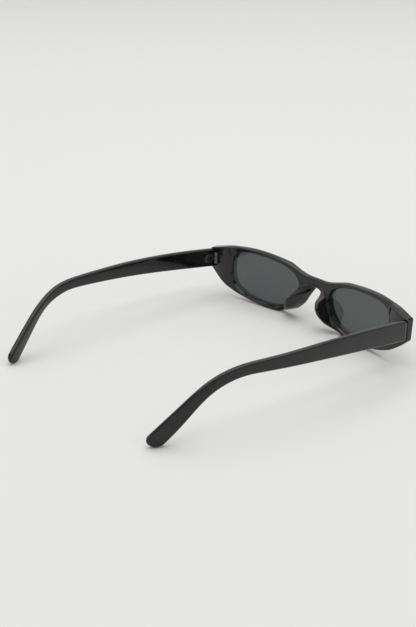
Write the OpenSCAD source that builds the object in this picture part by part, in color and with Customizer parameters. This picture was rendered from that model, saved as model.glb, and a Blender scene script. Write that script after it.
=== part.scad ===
// Slim oval sunglasses, open and standing on a table as they are laid down.
// One moulded front carries both lenses and the nose pads. Each temple turns on a
// three-knuckle metal hinge whose front leaf and screw stay with the front.
// Millimetres. +X is the wearer's left, the front looks to -Y, the temples run to +Y,
// and z = 0 is the table under the rims and the temple tips.

/* [Front] */
// Overall width of the front
front_w = 143; // [136:1:152]
// Radius of the front's sweep, seen from above
base_r = 243; // [200:1:400]
// Distance from the middle where the round sweep runs out straight
arc_x = 47; // [40:1:56]
// Lean of the front, its top ahead of its bottom, in degrees
front_lean = 8.1; // [2:0.1:12]
// Lean of the end pieces, in degrees
end_lean = 5; // [2:0.1:9]
// Thickness of the front
front_t = 4; // [3.6:0.1:4.4]
// Thickness of the end pieces at their outer side
end_t = 3.7; // [3.4:0.1:4.4]
// Height of the brow, the highest point of each rim
brow_h = 29; // [28.5:0.1:32]
// Distance of the brow from the middle
brow_x = 45; // [40:1:50]
// Height of the top of the bridge
bridge_top = 23.4; // [22:0.1:26]
// Height of the bridge itself, at the front face
bridge_h = 4.7; // [3.5:0.1:5.5]
// How much the underside of the bridge rises to the rear
bridge_bevel = 1.3; // [0.5:0.1:1.8]
// Height of the top of each end piece
end_top = 25.4; // [24.8:0.1:27]
// Height of the end piece itself
end_h = 10.8; // [10.2:0.1:11.4]
// Distance from the middle to the place where each rim touches the table
rim_foot_x = 30; // [28:1:34]
// Radius of the outer edges at the front face
front_edge_r = 1.1; // [0.6:0.1:1.5]
// Radius of the outer edges at the rear face
rear_edge_r = 0.5; // [0.3:0.1:1]
// Radius of each end piece's front corner, seen from above
end_r = 0.9; // [0.6:0.1:1.6]

/* [Lenses] */
// Width of each lens opening
opening_w = 45.8; // [42:0.1:48]
// Height of each lens opening
opening_h = 23.9; // [22:0.1:24.2]
// Distance between the two openings
opening_gap = 22.4; // [20:0.1:24]
// Height of the rim under each opening
rim_low = 2.5; // [2.2:0.1:3]
// Thickness of the lenses
lens_t = 1.8; // [1.4:0.1:2]
// How far the lens edge reaches into its groove
lens_lap = 0.8; // [0.5:0.05:1]
// How far the rear face of the lens lies ahead of the front's rear face
lens_set = 1.35; // [1:0.05:1.6]
// Clearance round the lens in its groove
lens_fit = 0.07; // [0.03:0.01:0.12]

/* [Nose pads] */
// Height of the lower end of each pad
pad_low = 1.9; // [1.5:0.1:2.5]
// Height of the upper end of each pad
pad_top = 17.4; // [16.5:0.1:18]
// Distance of the pad's crest from the middle, where it reaches furthest back
pad_x = 11.3; // [10.5:0.1:12]
// How far the crest stands behind the front face of the bridge
pad_reach = 12.8; // [9:0.1:13.4]
// Radius of the crest
pad_r = 0.9; // [0.7:0.05:1.2]

/* [Temples] */
// Length of each temple along its centre line
temple_l = 149.2; // [142:0.2:155]
// Height of the temple at the hinge
temple_h = 10.1; // [9:0.1:11]
// Height of the temple at its slimmest, in the bend
temple_slim_h = 4.1; // [3.6:0.1:6]
// Height of the temple at its tip
temple_tip_h = 5.9; // [5:0.1:7]
// Distance of the slimmest place from the hinge, along the centre line
temple_slim_at = 118; // [105:1:125]
// Thickness of the temple at the hinge
temple_t = 3.2; // [2.9:0.1:3.8]
// Thickness of the temple at its tip
temple_tip_t = 2.8; // [2.2:0.1:3.4]
// Radius of the temple's long edges
temple_edge_r = 0.8; // [0.4:0.1:1]
// Radius of the corners of the tip, in the side view
tip_r = 2; // [1.2:0.1:2.4]
// Slant of the tip's end, in degrees
tip_slant = 9.4; // [0:0.1:20]
// Climb of the temple at the hinge, in degrees
rise_angle = 7.2; // [5:0.1:9]
// Climb of the temple where its bend starts, in degrees
crest_angle = 2.8; // [0:0.1:5]
// Fall of the temple behind its bend, in degrees
drop_angle = 42.6; // [36:0.1:48]
// Start of the bend, along the centre line
bend_at = 89.4; // [84:0.2:95]
// Length of the bend, along the centre line
bend_l = 39.7; // [32:0.1:46]
// How far the temple would stand further out at its tip without its wrap
temple_flare = 6.9; // [4:0.1:9]
// How far the wrap draws the tip in
temple_wrap = 21.6; // [16:0.1:24]

/* [Hinges] */
// Height of the middle of the hinge above the table
hinge_h = 20.3; // [20:0.1:20.7]
// Radius of the knuckles
knuckle_r = 1.4; // [1.3:0.05:1.55]
// Height of each knuckle
knuckle_h = 2; // [1.8:0.05:2.1]
// Gap between neighbouring knuckles
knuckle_gap = 0.1; // [0.06:0.01:0.15]
// Distance of the hinge axis from the temple's inner face
axis_in = 0.9; // [0.8:0.05:1.1]
// Radius of the screw's shank
screw_r = 0.7; // [0.6:0.05:0.75]
// Radius of the screw's head
head_r = 1; // [0.9:0.05:1.05]
// Height of the screw's head, sunk in the top knuckle
head_h = 0.5; // [0.4:0.05:0.7]
// Width of the screw's slot
slot_w = 0.35; // [0.25:0.05:0.45]
// Depth of the screw's slot
slot_d = 0.25; // [0.2:0.05:0.3]
// Thickness of both leaves
leaf_t = 1; // [0.8:0.05:1.1]
// Reach of the temple leaf behind the axis
leaf_l = 7.4; // [6.8:0.1:9]
// Height of the temple leaf
leaf_h = 4.8; // [4.2:0.1:5.4]
// How far the temple leaf stands proud of the temple
leaf_proud = 0.2; // [0:0.05:0.3]
// Radius of the locating hole in the temple leaf
pip_r = 0.8; // [0.6:0.05:1]
// Metal between that hole and the front edge of the leaf
pip_edge = 0.3; // [0.2:0.05:0.5]
// Radius of the round front leaf
disc_r = 3.15; // [3.05:0.05:3.4]
// Distance of the front leaf's centre from the axis, towards the lens
disc_in = 0.8; // [0.5:0.1:1.2]
// Distance of the front leaf's rear face ahead of the axis
disc_ahead = 1.15; // [1:0.05:1.25]
// Width of the webs between the front leaf and its knuckles
web_w = 2; // [1.4:0.1:2.1]
// Radius of the anchor studs behind the leaves
stud_r = 0.75; // [0.5:0.05:0.9]
// Length of the anchor studs
stud_l = 1.1; // [0.6:0.1:1.2]
// Seam between the front and the end of each temple
seam = 0.2; // [0.15:0.01:0.3]
// Clearance of the turning knuckle on the screw
turn_fit = 0.04; // [0.02:0.01:0.08]
// Clearance of the screw in the knuckles that hold it
hold_fit = 0.02; // [0.01:0.01:0.05]
// Clearance of leaves and studs in the pockets moulded for them
pocket_fit = 0.06; // [0.03:0.01:0.12]
// Room that the plastic leaves round the knuckles
swing_gap = 0.3; // [0.2:0.05:0.4]

/* [Hidden] */
$fn = 48;
plastic = [0.09, 0.09, 0.10];
smoke = [0.30, 0.32, 0.33, 0.75];
gunmetal = [0.32, 0.32, 0.34];
steel = [0.55, 0.55, 0.57];

half_w = front_w / 2;
// How far solids that are joined reach into each other
eps = 0.01;
// How far a cutting shape stands past what it cuts
past = 5;
// The front face crosses y = 0 at this height in the middle
level_z = 15;
notch_top = bridge_top - bridge_h;
end_low = end_top - end_h;
nasal_x = opening_gap / 2;
temporal_x = nasal_x + opening_w;
opening_top = rim_low + opening_h;
// The opening is widest at this height, highest and lowest at these distances
wide_z = rim_low + 0.62 * opening_h;
high_x = nasal_x + 0.67 * opening_w;
low_x = nasal_x + 0.45 * opening_w;
// Exponents of the opening's four quarters, where 2 is an ellipse
exponent_top_temporal = 3.3;
exponent_top_nasal = 2.2;
exponent_low_nasal = 2;
exponent_low_temporal = 2.5;

// Sum of a list, by a dot product with ones
function sum(v) = v * [for (n = v) 1];
function mix(a, b, t) = a + (b - a) * t;
// Smooth step from 0 to 1
function smooth(t) = let (u = min(max(t, 0), 1)) u * u * (3 - 2 * u);

// Monotone cubic through knots [[x, y], ...]. A crest or a low point lies on its knot.
function rise(k, i) = (k[i + 1][1] - k[i][1]) / (k[i + 1][0] - k[i][0]);
function slope(k, i, level_start) =
    i == 0 ? (level_start ? 0 : rise(k, 0))
    : i == len(k) - 1 ? rise(k, i - 1)
    : let (a = rise(k, i - 1), b = rise(k, i)) a * b <= 0 ? 0 : 2 * a * b / (a + b);
function span(k, x, i = 0) = i >= len(k) - 2 || x < k[i + 1][0] ? i : span(k, x, i + 1);
function curve(k, x, level_start = false) =
    let (i = span(k, x), w = k[i + 1][0] - k[i][0], t = (x - k[i][0]) / w)
    (2 * t ^ 3 - 3 * t ^ 2 + 1) * k[i][1] + (3 * t ^ 2 - 2 * t ^ 3) * k[i + 1][1]
    + w * (t ^ 3 - 2 * t ^ 2 + t) * slope(k, i, level_start)
    + w * (t ^ 3 - t ^ 2) * slope(k, i + 1, level_start);

// Points of an arc in a plane
function arc(c, r, from, to, steps) =
    [for (i = [0:steps]) let (a = mix(from, to, i / steps)) c + r * [cos(a), sin(a)]];

// Closed solid through rings of equal count, each ring closed, the two ends capped
module loft(rings) {
    n = len(rings[0]);
    last = len(rings) - 1;
    polyhedron(
        points = [for (ring = rings) each ring],
        faces = [
            [for (j = [n - 1:-1:0]) j],
            [for (j = [0:n - 1]) last * n + j],
            for (i = [0:last - 1], j = [0:n - 1])
                let (a = i * n + j, b = i * n + (j + 1) % n)
                each [[a, b, a + n], [b, b + n, a + n]]
        ]);
}

// The front's face: seen from above a round sweep that runs out straight, leaned forward
// at the top. The lean eases off from the lens to the end.
function sweep_y(x) =
    let (a = min(abs(x), arc_x), drop = sqrt(base_r ^ 2 - a ^ 2)) base_r - drop + (abs(x) - a) * a / drop;
function lean(x) = mix(front_lean, end_lean, max((abs(x) - temporal_x) / (half_w - temporal_x), 0) ^ 2);
function face_y(x, z) = sweep_y(x) - tan(lean(x)) * (z - level_z);

// Outline of the front in the front view: its top, and its bottom with the nose notch
top_knots = [
    [0, bridge_top],
    [0.1 * brow_x, bridge_top - 0.05],
    [0.52 * brow_x, mix(bridge_top, brow_h, 0.65)],
    [brow_x, brow_h],
    [mix(brow_x, half_w, 0.57), mix(brow_h, end_top, 0.35)],
    [half_w, end_top]
];
notch_shape = [[0, 1], [0.07, 0.91], [0.15, 0.73], [0.265, 0.43], [0.45, 0.18], [0.73, 0.035]];
rim_shape = [[0, 0], [0.24, 0.08], [0.48, 0.225], [0.72, 0.48], [0.88, 0.765], [1, 1]];
low_knots = [
    for (p = notch_shape) [p[0] * rim_foot_x, p[1] * notch_top],
    for (p = rim_shape) [mix(rim_foot_x, half_w, p[0]), p[1] * end_low]
];
function top_z(x) = curve(top_knots, abs(x), true);
function low_z(x) = curve(low_knots, abs(x), true);
// The notch opens to the rear as the pads splay, and the bridge is bevelled under it
splay = 26;
function rear_low_z(x) =
    let (shift = front_t * tan(splay) * (1 - smooth((abs(x) - 0.45 * rim_foot_x) / (0.4 * rim_foot_x))))
    low_z(max(abs(x) - shift, 0)) + bridge_bevel * (1 - smooth(abs(x) / (0.25 * rim_foot_x)));

// Temple and hinge places. The temple's outer face lies just inside the front's side.
side_step = 0.15;
x_out = half_w - side_step;
inner_x = x_out - temple_t;
seam_y = face_y(half_w, hinge_h) + end_t;
axis_x = inner_x - axis_in;
axis_y = seam_y + seam / 2;
stack_h = 3 * knuckle_h + 2 * knuckle_gap;
stack_low = hinge_h - stack_h / 2;
middle_low = stack_low + knuckle_h + knuckle_gap;

// The front's rear face follows its front face, and eases to a flat where the temple butts
flat_ease = 10;
function rear_y(x, z) =
    mix(face_y(x, z) + front_t, seam_y, smooth((abs(x) - inner_x + flat_ease) / flat_ease));

// One upright section of the front, its edges round and the end's corner drawn in
corner_steps = 3;
function drawn_in(x) =
    let (over = abs(x) - (half_w - end_r)) over <= 0 ? 0 : end_r - sqrt(max(end_r ^ 2 - over ^ 2, 0));
function front_ring(x) =
    let (
        zt = top_z(x), zl = low_z(x), zr = rear_low_z(x), s = drawn_in(x),
        f = front_edge_r, r = rear_edge_r,
        front_side = [
            each arc([s + f, zl + f], f, 270, 180, corner_steps),
            each arc([s + f, zt - f], f, 180, 90, corner_steps)
        ],
        rear_side = [
            each arc([-r, zt - r], r, 90, 0, corner_steps),
            each arc([-r, zr + r], r, 0, -90, corner_steps)
        ])
    [
        for (p = front_side) [x, face_y(x, p[1]) + p[0], p[1]],
        for (p = rear_side) [x, rear_y(x, p[1]) + p[0], p[1]]
    ];

// Sections lie closest in the notch and round the ends
half_stations = [
    for (i = [0:12]) i / 12 * 0.36 * rim_foot_x,
    for (i = [1:7]) mix(0.36 * rim_foot_x, rim_foot_x, i / 7),
    for (i = [1:15]) mix(rim_foot_x, half_w - end_r, i / 15),
    for (i = [1:4]) half_w - end_r + end_r * sin(i * 22.5)
];
stations = [
    for (i = [len(half_stations) - 1:-1:1]) -half_stations[i],
    each half_stations
];
front_rings = [for (x = stations) front_ring(x)];

// Outline of a lens opening, by quarters of superellipses, grown along its normals
quarter_steps = 14;
function quarter(c, a, b, full, from) =
    [for (i = [0:quarter_steps - 1])
        let (t = from + 90 * i / quarter_steps)
        c + [a * sign(cos(t)) * abs(cos(t)) ^ (2 / full), b * sign(sin(t)) * abs(sin(t)) ^ (2 / full)]];
opening = [
    each quarter([high_x, wide_z], temporal_x - high_x, opening_top - wide_z, exponent_top_temporal, 0),
    each quarter([high_x, wide_z], high_x - nasal_x, opening_top - wide_z, exponent_top_nasal, 90),
    each quarter([low_x, wide_z], low_x - nasal_x, wide_z - rim_low, exponent_low_nasal, 180),
    each quarter([low_x, wide_z], temporal_x - low_x, wide_z - rim_low, exponent_low_temporal, 270)
];
function grown(outline, d) =
    let (n = len(outline))
    [for (i = [0:n - 1])
        let (t = outline[(i + 1) % n] - outline[(i + n - 1) % n])
        outline[i] + d * [t[1], -t[0]] / norm(t)];
opening_c = [(nasal_x + temporal_x) / 2, wide_z];

// A curved plate that fills the outline between two depths behind the front's face
ring_scales = [0.12, 0.4, 0.7, 1];
function plate_ring(outline, k, s) =
    [for (p = outline) let (q = mix(opening_c, p, k)) [q[0], face_y(q[0], q[1]) + s, q[1]]];
module curved_plate(outline, s0, s1) {
    loft([
        for (k = ring_scales) plate_ring(outline, k, s0),
        for (i = [len(ring_scales) - 1:-1:0]) plate_ring(outline, ring_scales[i], s1)
    ]);
}
lens_s1 = front_t - lens_set;
lens_s0 = lens_s1 - lens_t;

// The pad's crest from its lower to its upper end: how much further from the middle it
// lies than where it reaches furthest back, and its share of the reach
crest_out = [[0, 9], [0.25, 3.4], [0.57, 0], [0.83, -2.7], [1, -4]];
crest_share = [[0, 0.5], [0.25, 0.82], [0.57, 1], [0.83, 0.84], [1, 0.46]];
// Distance from the middle of the notch's edge, and of the opening's nasal edge, at a height
function notch_x(z, a = 0, b = rim_foot_x, n = 18) =
    let (m = (a + b) / 2) n == 0 ? m : low_z(m) > z ? notch_x(z, m, b, n - 1) : notch_x(z, a, m, n - 1);
function opening_x(z) =
    z > wide_z
    ? high_x - (high_x - nasal_x)
        * (1 - ((z - wide_z) / (opening_top - wide_z)) ^ exponent_top_nasal) ^ (1 / exponent_top_nasal)
    : low_x - (low_x - nasal_x)
        * (1 - ((wide_z - z) / (wide_z - rim_low)) ^ exponent_low_nasal) ^ (1 / exponent_low_nasal);
pad_levels = 9;
pad_root_r = 0.6;
// Ledge between the pad's root and the opening, and the front's share of the pad's side
pad_ledge = 0.6;
pad_sunk = 0.75 * front_t;

// Three balls at one height of a pad: on the notch, on the crest and beside the lens
module pad_balls(w) {
    z = mix(pad_low, pad_top, w);
    edge = [notch_x(z), face_y(notch_x(z), z)];
    crest = [pad_x + curve(crest_out, w), curve(crest_share, w) * pad_reach];
    along = (crest - edge) / norm(crest - edge);
    across = [along[1], -along[0]];
    root_x = opening_x(max(z, rim_low + 1)) - pad_root_r - pad_ledge;
    on_notch = edge + pad_sunk * along + pad_r * across;
    on_crest = crest - pad_r * along + pad_r * across;
    translate([on_notch[0], on_notch[1], z]) sphere(r = pad_r, $fn = 12);
    translate([on_crest[0], on_crest[1], z]) sphere(r = pad_r, $fn = 12);
    translate([root_x, rear_y(root_x, z) - pad_root_r, z]) sphere(r = pad_root_r, $fn = 10);
}

module nose_pad() {
    for (i = [0:pad_levels - 2])
        hull() {
            pad_balls(i / (pad_levels - 1));
            pad_balls((i + 1) / (pad_levels - 1));
        }
}

// Heading, height and thickness of the temple along its centre line
function heading(s) =
    rise_angle + (crest_angle - rise_angle) * min(s / bend_at, 1)
    - (drop_angle + crest_angle) * smooth((s - bend_at) / bend_l);
function height(s) =
    mix(temple_h, temple_slim_h, smooth(s / temple_slim_at))
    + (temple_tip_h - temple_slim_h) * smooth((s - temple_slim_at) / (temple_l - temple_slim_at));
function thickness(s) = mix(temple_t, temple_tip_t, s / temple_l);
// Angle of a section: upright at the hinge, square to the path behind it, slanted at the tip
upright_l = 30;
slant_l = 15;
function section_angle(s) =
    90 + heading(s) * smooth(s / upright_l) - tip_slant * smooth((s - temple_l + slant_l) / slant_l);
path_steps = 60;
function path(s) =
    let (d = s / path_steps, a = [for (i = [0:path_steps - 1]) heading((i + 0.5) * d)])
    d * [sum([for (h = a) cos(h)]), sum([for (h = a) sin(h)])];
temple_run = path(temple_l)[0];
function outer_x(y) = let (u = y / temple_run) x_out + temple_flare * u - temple_wrap * u ^ 3;
temple_z = end_low + end_h / 2;

// One section of the temple, its corners round, drawn in by a share at both of its ends
function temple_ring(s, in_h, in_t) =
    let (
        p = path(s), a = section_angle(s),
        h = height(s) / 2 - in_h, t = thickness(s) / 2 - in_t,
        r = min(temple_edge_r, 0.9 * t, 0.9 * h),
        mid = outer_x(p[0]) - thickness(s) / 2,
        flat = [
            each arc([t - r, h - r], r, 0, 90, corner_steps),
            each arc([r - t, h - r], r, 90, 180, corner_steps),
            each arc([r - t, r - h], r, 180, 270, corner_steps),
            each arc([t - r, r - h], r, 270, 360, corner_steps)
        ])
    [for (q = flat) [mid + q[0], p[0] + q[1] * cos(a), p[1] + q[1] * sin(a)]];
end_chamfer = 0.35;
tip_side_r = 0.8;
tip_start = temple_l - tip_r;
raw_rings = [
    temple_ring(0, end_chamfer, end_chamfer),
    temple_ring(end_chamfer, 0, 0),
    for (s = [8:8:bend_at - 4]) temple_ring(s, 0, 0),
    for (i = [0:12]) temple_ring(mix(bend_at, bend_at + bend_l, i / 12), 0, 0),
    for (i = [1:4]) temple_ring(mix(bend_at + bend_l, tip_start, i / 4), 0, 0),
    for (a = [22:22:88])
        temple_ring(tip_start + tip_r * sin(a), tip_r * (1 - cos(a)), tip_side_r * (1 - cos(a)))
];
// The climb is trimmed until the lowest point of the tip stands on the table
raw_points = [for (ring = raw_rings) each ring];
raw_low = min([for (p = raw_points) p[2]]) + temple_z;
foot_run = [for (p = raw_points) if (p[2] + temple_z < raw_low + eps) p[1]][0];
temple_rings = [for (ring = raw_rings)
    [for (p = ring) [p[0], seam_y + seam + p[1], temple_z + p[2] - raw_low * p[1] / foot_run]]];

// The origin lies under the middle of the whole part
part_y = -(min([for (ring = front_rings) for (p = ring) p[1]])
    + max([for (ring = temple_rings) for (p = ring) p[1]])) / 2;
module placed() { translate([0, part_y, 0]) children(); }
module right() { mirror([1, 0, 0]) children(); }
module both() { children(); right() children(); }
// A round bar upright on the hinge axis
module on_axis(z, r, h) { translate([axis_x, axis_y, z]) cylinder(r = r, h = h); }
// A round bar that runs forward, to -Y, from a plane behind
module forward(x, y, r, l) { translate([x, y, hinge_h]) rotate([90, 0, 0]) cylinder(r = r, h = l); }

// The front leaf is a disc cut straight beside the knuckles
disc_x = axis_x - disc_in;
disc_y = axis_y - disc_ahead - leaf_t;
module disc(r, l, side) {
    intersection() {
        forward(disc_x, disc_y + l, r, l);
        translate([axis_x + side - 2 * r, disc_y, hinge_h - r]) cube([2 * r, l, 2 * r]);
    }
}

// Room for the front leaf, its stud and the knuckles
module front_pocket() {
    translate([0, -pocket_fit, 0]) disc(disc_r + pocket_fit, past + pocket_fit, knuckle_r + swing_gap);
    forward(disc_x, disc_y, stud_r + pocket_fit, stud_l + pocket_fit);
    on_axis(stack_low - pocket_fit, knuckle_r + swing_gap, stack_h + 2 * pocket_fit);
}

module lens_opening() {
    rotate([90, 0, 0]) linear_extrude(4 * front_t + 2 * sweep_y(temporal_x), center = true) polygon(opening);
}

module front_frame() {
    color(plastic) placed() difference() {
        union() {
            loft(front_rings);
            both() nose_pad();
        }
        both() {
            lens_opening();
            curved_plate(grown(opening, lens_lap + lens_fit), lens_s0 - lens_fit, lens_s1 + lens_fit);
            front_pocket();
        }
    }
}

module lens_body() { curved_plate(grown(opening, lens_lap), lens_s0, lens_s1); }
module lens_left() { color(smoke) placed() lens_body(); }
module lens_right() { color(smoke) placed() right() lens_body(); }

// The temple leaf lies in the temple's inner face. It starts behind the outer knuckles, and
// its stud stands at the centre of its round rear end.
leaf_x = inner_x - leaf_proud;
leaf_start = knuckle_r + swing_gap;
stud_at = leaf_l - leaf_h / 2;
// A round bar outward, to +X, from a plane, at a distance behind the axis
module outward(x, at, r, l) {
    translate([x, axis_y + at, hinge_h]) rotate([0, 90, 0]) cylinder(r = r, h = l);
}
// A block outward from a plane, between two distances behind the axis
module block(x, from, to, h, l) {
    translate([x, axis_y + from, hinge_h - h / 2]) cube([l, to - from, h]);
}
module leaf_plate(x, l, grow) {
    r = leaf_h / 2 + grow;
    block(x, leaf_start - grow, stud_at, 2 * r, l);
    intersection() {
        outward(x, stud_at, r, l);
        block(x, stud_at - eps, stud_at + 2 * r, 2 * r, l);
    }
}

// Room in the temple for its leaf, the stud, the neck of the leaf and the knuckles
module temple_pocket() {
    leaf_plate(inner_x - past, leaf_t - leaf_proud + past + pocket_fit, pocket_fit);
    outward(inner_x, stud_at, stud_r + pocket_fit, leaf_t - leaf_proud + stud_l + pocket_fit);
    neck_l = leaf_x + leaf_t + pocket_fit - axis_x;
    block(axis_x, -leaf_start, leaf_start + eps, knuckle_h + 2 * pocket_fit, neck_l);
    on_axis(stack_low - swing_gap, knuckle_r + swing_gap, stack_h + 2 * swing_gap);
}

module temple_body() {
    difference() {
        loft(temple_rings);
        temple_pocket();
    }
}
module temple_left() { color(plastic) placed() temple_body(); }
module temple_right() { color(plastic) placed() right() temple_body(); }

// An outer knuckle and the web that joins it to the front leaf
module outer_knuckle(low) {
    on_axis(low, knuckle_r, knuckle_h);
    translate([axis_x - web_w / 2, disc_y + leaf_t - eps, low]) cube([web_w, disc_ahead, knuckle_h]);
}

// The front leaf: a round plate with a stud, and the two outer knuckles
module front_leaf() {
    difference() {
        union() {
            disc(disc_r, leaf_t, knuckle_r);
            forward(disc_x, disc_y + eps, stud_r, stud_l);
            outer_knuckle(stack_low);
            outer_knuckle(middle_low + knuckle_h + knuckle_gap);
        }
        on_axis(middle_low - knuckle_gap, knuckle_r + knuckle_gap, knuckle_h + 2 * knuckle_gap);
        on_axis(stack_low - past, screw_r + hold_fit, stack_h + 2 * past);
        on_axis(stack_low + stack_h - head_h, head_r + hold_fit, head_h + past);
    }
}
module hinge_front_leaf_left() { color(gunmetal) placed() front_leaf(); }
module hinge_front_leaf_right() { color(gunmetal) placed() right() front_leaf(); }

// The temple leaf: a plate with a round rear end, a stud, a locating hole and one knuckle
module temple_leaf() {
    difference() {
        union() {
            on_axis(middle_low, knuckle_r, knuckle_h);
            block(leaf_x, 0, leaf_start + eps, knuckle_h, leaf_t);
            leaf_plate(leaf_x, leaf_t, 0);
            outward(leaf_x + leaf_t - eps, stud_at, stud_r, stud_l);
        }
        on_axis(stack_low - past, screw_r + turn_fit, stack_h + 2 * past);
        outward(leaf_x - past, leaf_start + pip_edge + pip_r, pip_r, leaf_t + 2 * past);
    }
}
module hinge_temple_leaf_left() { color(gunmetal) placed() temple_leaf(); }
module hinge_temple_leaf_right() { color(gunmetal) placed() right() temple_leaf(); }

// The screw: a shank, a head sunk in the top knuckle and a slot across it
module screw() {
    top = stack_low + stack_h;
    difference() {
        union() {
            on_axis(stack_low, screw_r, stack_h);
            on_axis(top - head_h + hold_fit, head_r, head_h - hold_fit);
        }
        translate([axis_x - past, axis_y - slot_w / 2, top - slot_d]) cube([2 * past, slot_w, past]);
    }
}
module hinge_screw_left() { color(steel) placed() screw(); }
module hinge_screw_right() { color(steel) placed() right() screw(); }

front_frame();
lens_left();
lens_right();
temple_left();
temple_right();
hinge_front_leaf_left();
hinge_front_leaf_right();
hinge_temple_leaf_left();
hinge_temple_leaf_right();
hinge_screw_left();
hinge_screw_right();
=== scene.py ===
"""Looks of a pair of slim oval sunglasses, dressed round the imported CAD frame.

Sizes are millimetres in the classes and metres in the meshes. +X is the wearer's left, the front
looks to -Y, the temples run to +Y and z = 0 is the table.
"""

import logging
import math
from dataclasses import dataclass, field
from enum import Enum

import bmesh
import bpy
from mathutils import Matrix, Vector


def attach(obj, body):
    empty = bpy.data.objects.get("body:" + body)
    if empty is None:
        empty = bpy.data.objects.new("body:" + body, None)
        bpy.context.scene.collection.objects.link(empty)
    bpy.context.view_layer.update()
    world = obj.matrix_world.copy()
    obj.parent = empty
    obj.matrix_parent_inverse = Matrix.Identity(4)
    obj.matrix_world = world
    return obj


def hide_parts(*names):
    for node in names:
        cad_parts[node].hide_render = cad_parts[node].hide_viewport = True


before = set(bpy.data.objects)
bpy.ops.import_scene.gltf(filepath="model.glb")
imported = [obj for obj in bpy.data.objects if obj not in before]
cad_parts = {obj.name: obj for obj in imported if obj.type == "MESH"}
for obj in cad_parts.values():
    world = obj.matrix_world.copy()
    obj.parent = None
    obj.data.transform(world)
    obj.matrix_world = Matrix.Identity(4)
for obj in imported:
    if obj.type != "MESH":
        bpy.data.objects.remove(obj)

LOG = logging.getLogger("sunglasses")
MM = 0.001
FRONT_BODY = "front_body"


class Side(Enum):
    """Which of the wearer's sides a piece is on."""

    LEFT = "left"
    RIGHT = "right"

    @property
    def sign(self) -> float:
        """Sign of x on this side."""
        return 1.0 if self is Side.LEFT else -1.0

    @property
    def body(self) -> str:
        """CAD body of this side's temple."""
        return f"{self.value}_temple_body"


# Small shared maths


def mix(a: float, b: float, t: float) -> float:
    """Value between a and b at share t."""
    return a + (b - a) * t


def smooth(t: float) -> float:
    """Smooth step from 0 to 1."""
    u = min(max(t, 0.0), 1.0)
    return u * u * (3 - 2 * u)


def eased(t: float, soft: float = 0.2) -> float:
    """An even ramp from 0 to 1 whose two ends are rounded over a share of its length.

    Args:
        t: Share of the ramp.
        soft: Share of its length that each round end takes.

    Returns:
        Height of the ramp there.
    """
    t = min(max(t, 0.0), 1.0)
    if t > 0.5:
        return 1 - eased(1 - t, soft)
    return (t * t / (2 * soft) if t < soft else t - soft / 2) / (1 - soft)


@dataclass(frozen=True)
class Line:
    """A monotone cubic through knots, as in the part's source.

    Args:
        knots: Pairs of place and value, in rising order of place.
        level_start: Whether the line starts level.
    """

    knots: tuple[tuple[float, float], ...]
    level_start: bool = False

    def _slope(self, i: int) -> float:
        """Slope at knot i.

        Args:
            i: Number of the knot.

        Returns:
            The slope, level where the line turns back.
        """
        k = self.knots

        def rise(j: int) -> float:
            """Slope of the chord behind knot j."""
            return (k[j + 1][1] - k[j][1]) / (k[j + 1][0] - k[j][0])

        if i == 0:
            return 0.0 if self.level_start else rise(0)
        if i == len(k) - 1:
            return rise(i - 1)
        a, b = rise(i - 1), rise(i)
        return 0.0 if a * b <= 0 else 2 * a * b / (a + b)

    def at(self, x: float) -> float:
        """Value of the line at x, held to its ends outside the knots.

        Args:
            x: Place along the line.

        Returns:
            The value there.
        """
        k = self.knots
        x = min(max(x, k[0][0]), k[-1][0])
        i = 0
        while i < len(k) - 2 and x >= k[i + 1][0]:
            i += 1
        w = k[i + 1][0] - k[i][0]
        t = (x - k[i][0]) / w
        return (
            (2 * t**3 - 3 * t**2 + 1) * k[i][1]
            + (3 * t**2 - 2 * t**3) * k[i + 1][1]
            + w * (t**3 - 2 * t**2 + t) * self._slope(i)
            + w * (t**3 - t**2) * self._slope(i + 1)
        )


def rounded(a: Vector, corner: Vector, b: Vector, back: float, steps: int) -> list[Vector]:
    """Points of a round corner between two straight runs, an arc where both setbacks are equal.

    Args:
        a: A point on the run before the corner.
        corner: The sharp corner.
        b: A point on the run behind the corner.
        back: How far from the corner the round starts on either run.
        steps: Steps of the round.

    Returns:
        steps + 1 points from one run to the other.
    """
    into, out = (corner - a).normalized(), (b - corner).normalized()
    start, end = corner - into * back, corner + out * back
    weight = math.sqrt(max((1 + into.dot(out)) / 2, 0.02))
    points = []
    for i in range(steps + 1):
        t = i / steps
        wa, wc, wb = (1 - t) ** 2, 2 * t * (1 - t) * weight, t * t
        points.append((start * wa + corner * wc + end * wb) / (wa + wc + wb))
    return points


def mesh_piece(
    name: str, points: list[Vector], faces: list[tuple[int, ...]], mirrored: bool = False
) -> bpy.types.Object:
    """Makes an object from points in millimetres.

    Args:
        name: Name of the piece.
        points: Its vertices.
        faces: Its faces.
        mirrored: Whether to mirror it to the other side.

    Returns:
        The linked object.
    """
    sign = -1.0 if mirrored else 1.0
    data = bpy.data.meshes.new(name)
    data.from_pydata([(p[0] * sign * MM, p[1] * MM, p[2] * MM) for p in points], [], faces)
    piece = bpy.data.objects.new(name, data)
    bpy.context.scene.collection.objects.link(piece)
    return piece


def tidy(piece: bpy.types.Object, merge: float = 0.002) -> None:
    """Merges doubles, turns faces outwards and keeps true edges sharp.

    Args:
        piece: The object to tidy.
        merge: Distance of doubles in millimetres.
    """
    work = bmesh.new()
    work.from_mesh(piece.data)
    bmesh.ops.remove_doubles(work, verts=work.verts, dist=merge * MM)
    bmesh.ops.dissolve_degenerate(work, edges=work.edges, dist=1e-8)
    bmesh.ops.recalc_face_normals(work, faces=work.faces)
    work.to_mesh(piece.data)
    work.free()
    shade(piece)


def shade(piece: bpy.types.Object, angle: float = 38.0) -> None:
    """Shades a piece smooth with its true edges sharp.

    Args:
        piece: The object.
        angle: Least angle of a true edge, in degrees.
    """
    piece.data.polygons.foreach_set("use_smooth", [True] * len(piece.data.polygons))
    piece.data.set_sharp_from_angle(angle=math.radians(angle))
    piece.data.update()


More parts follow.
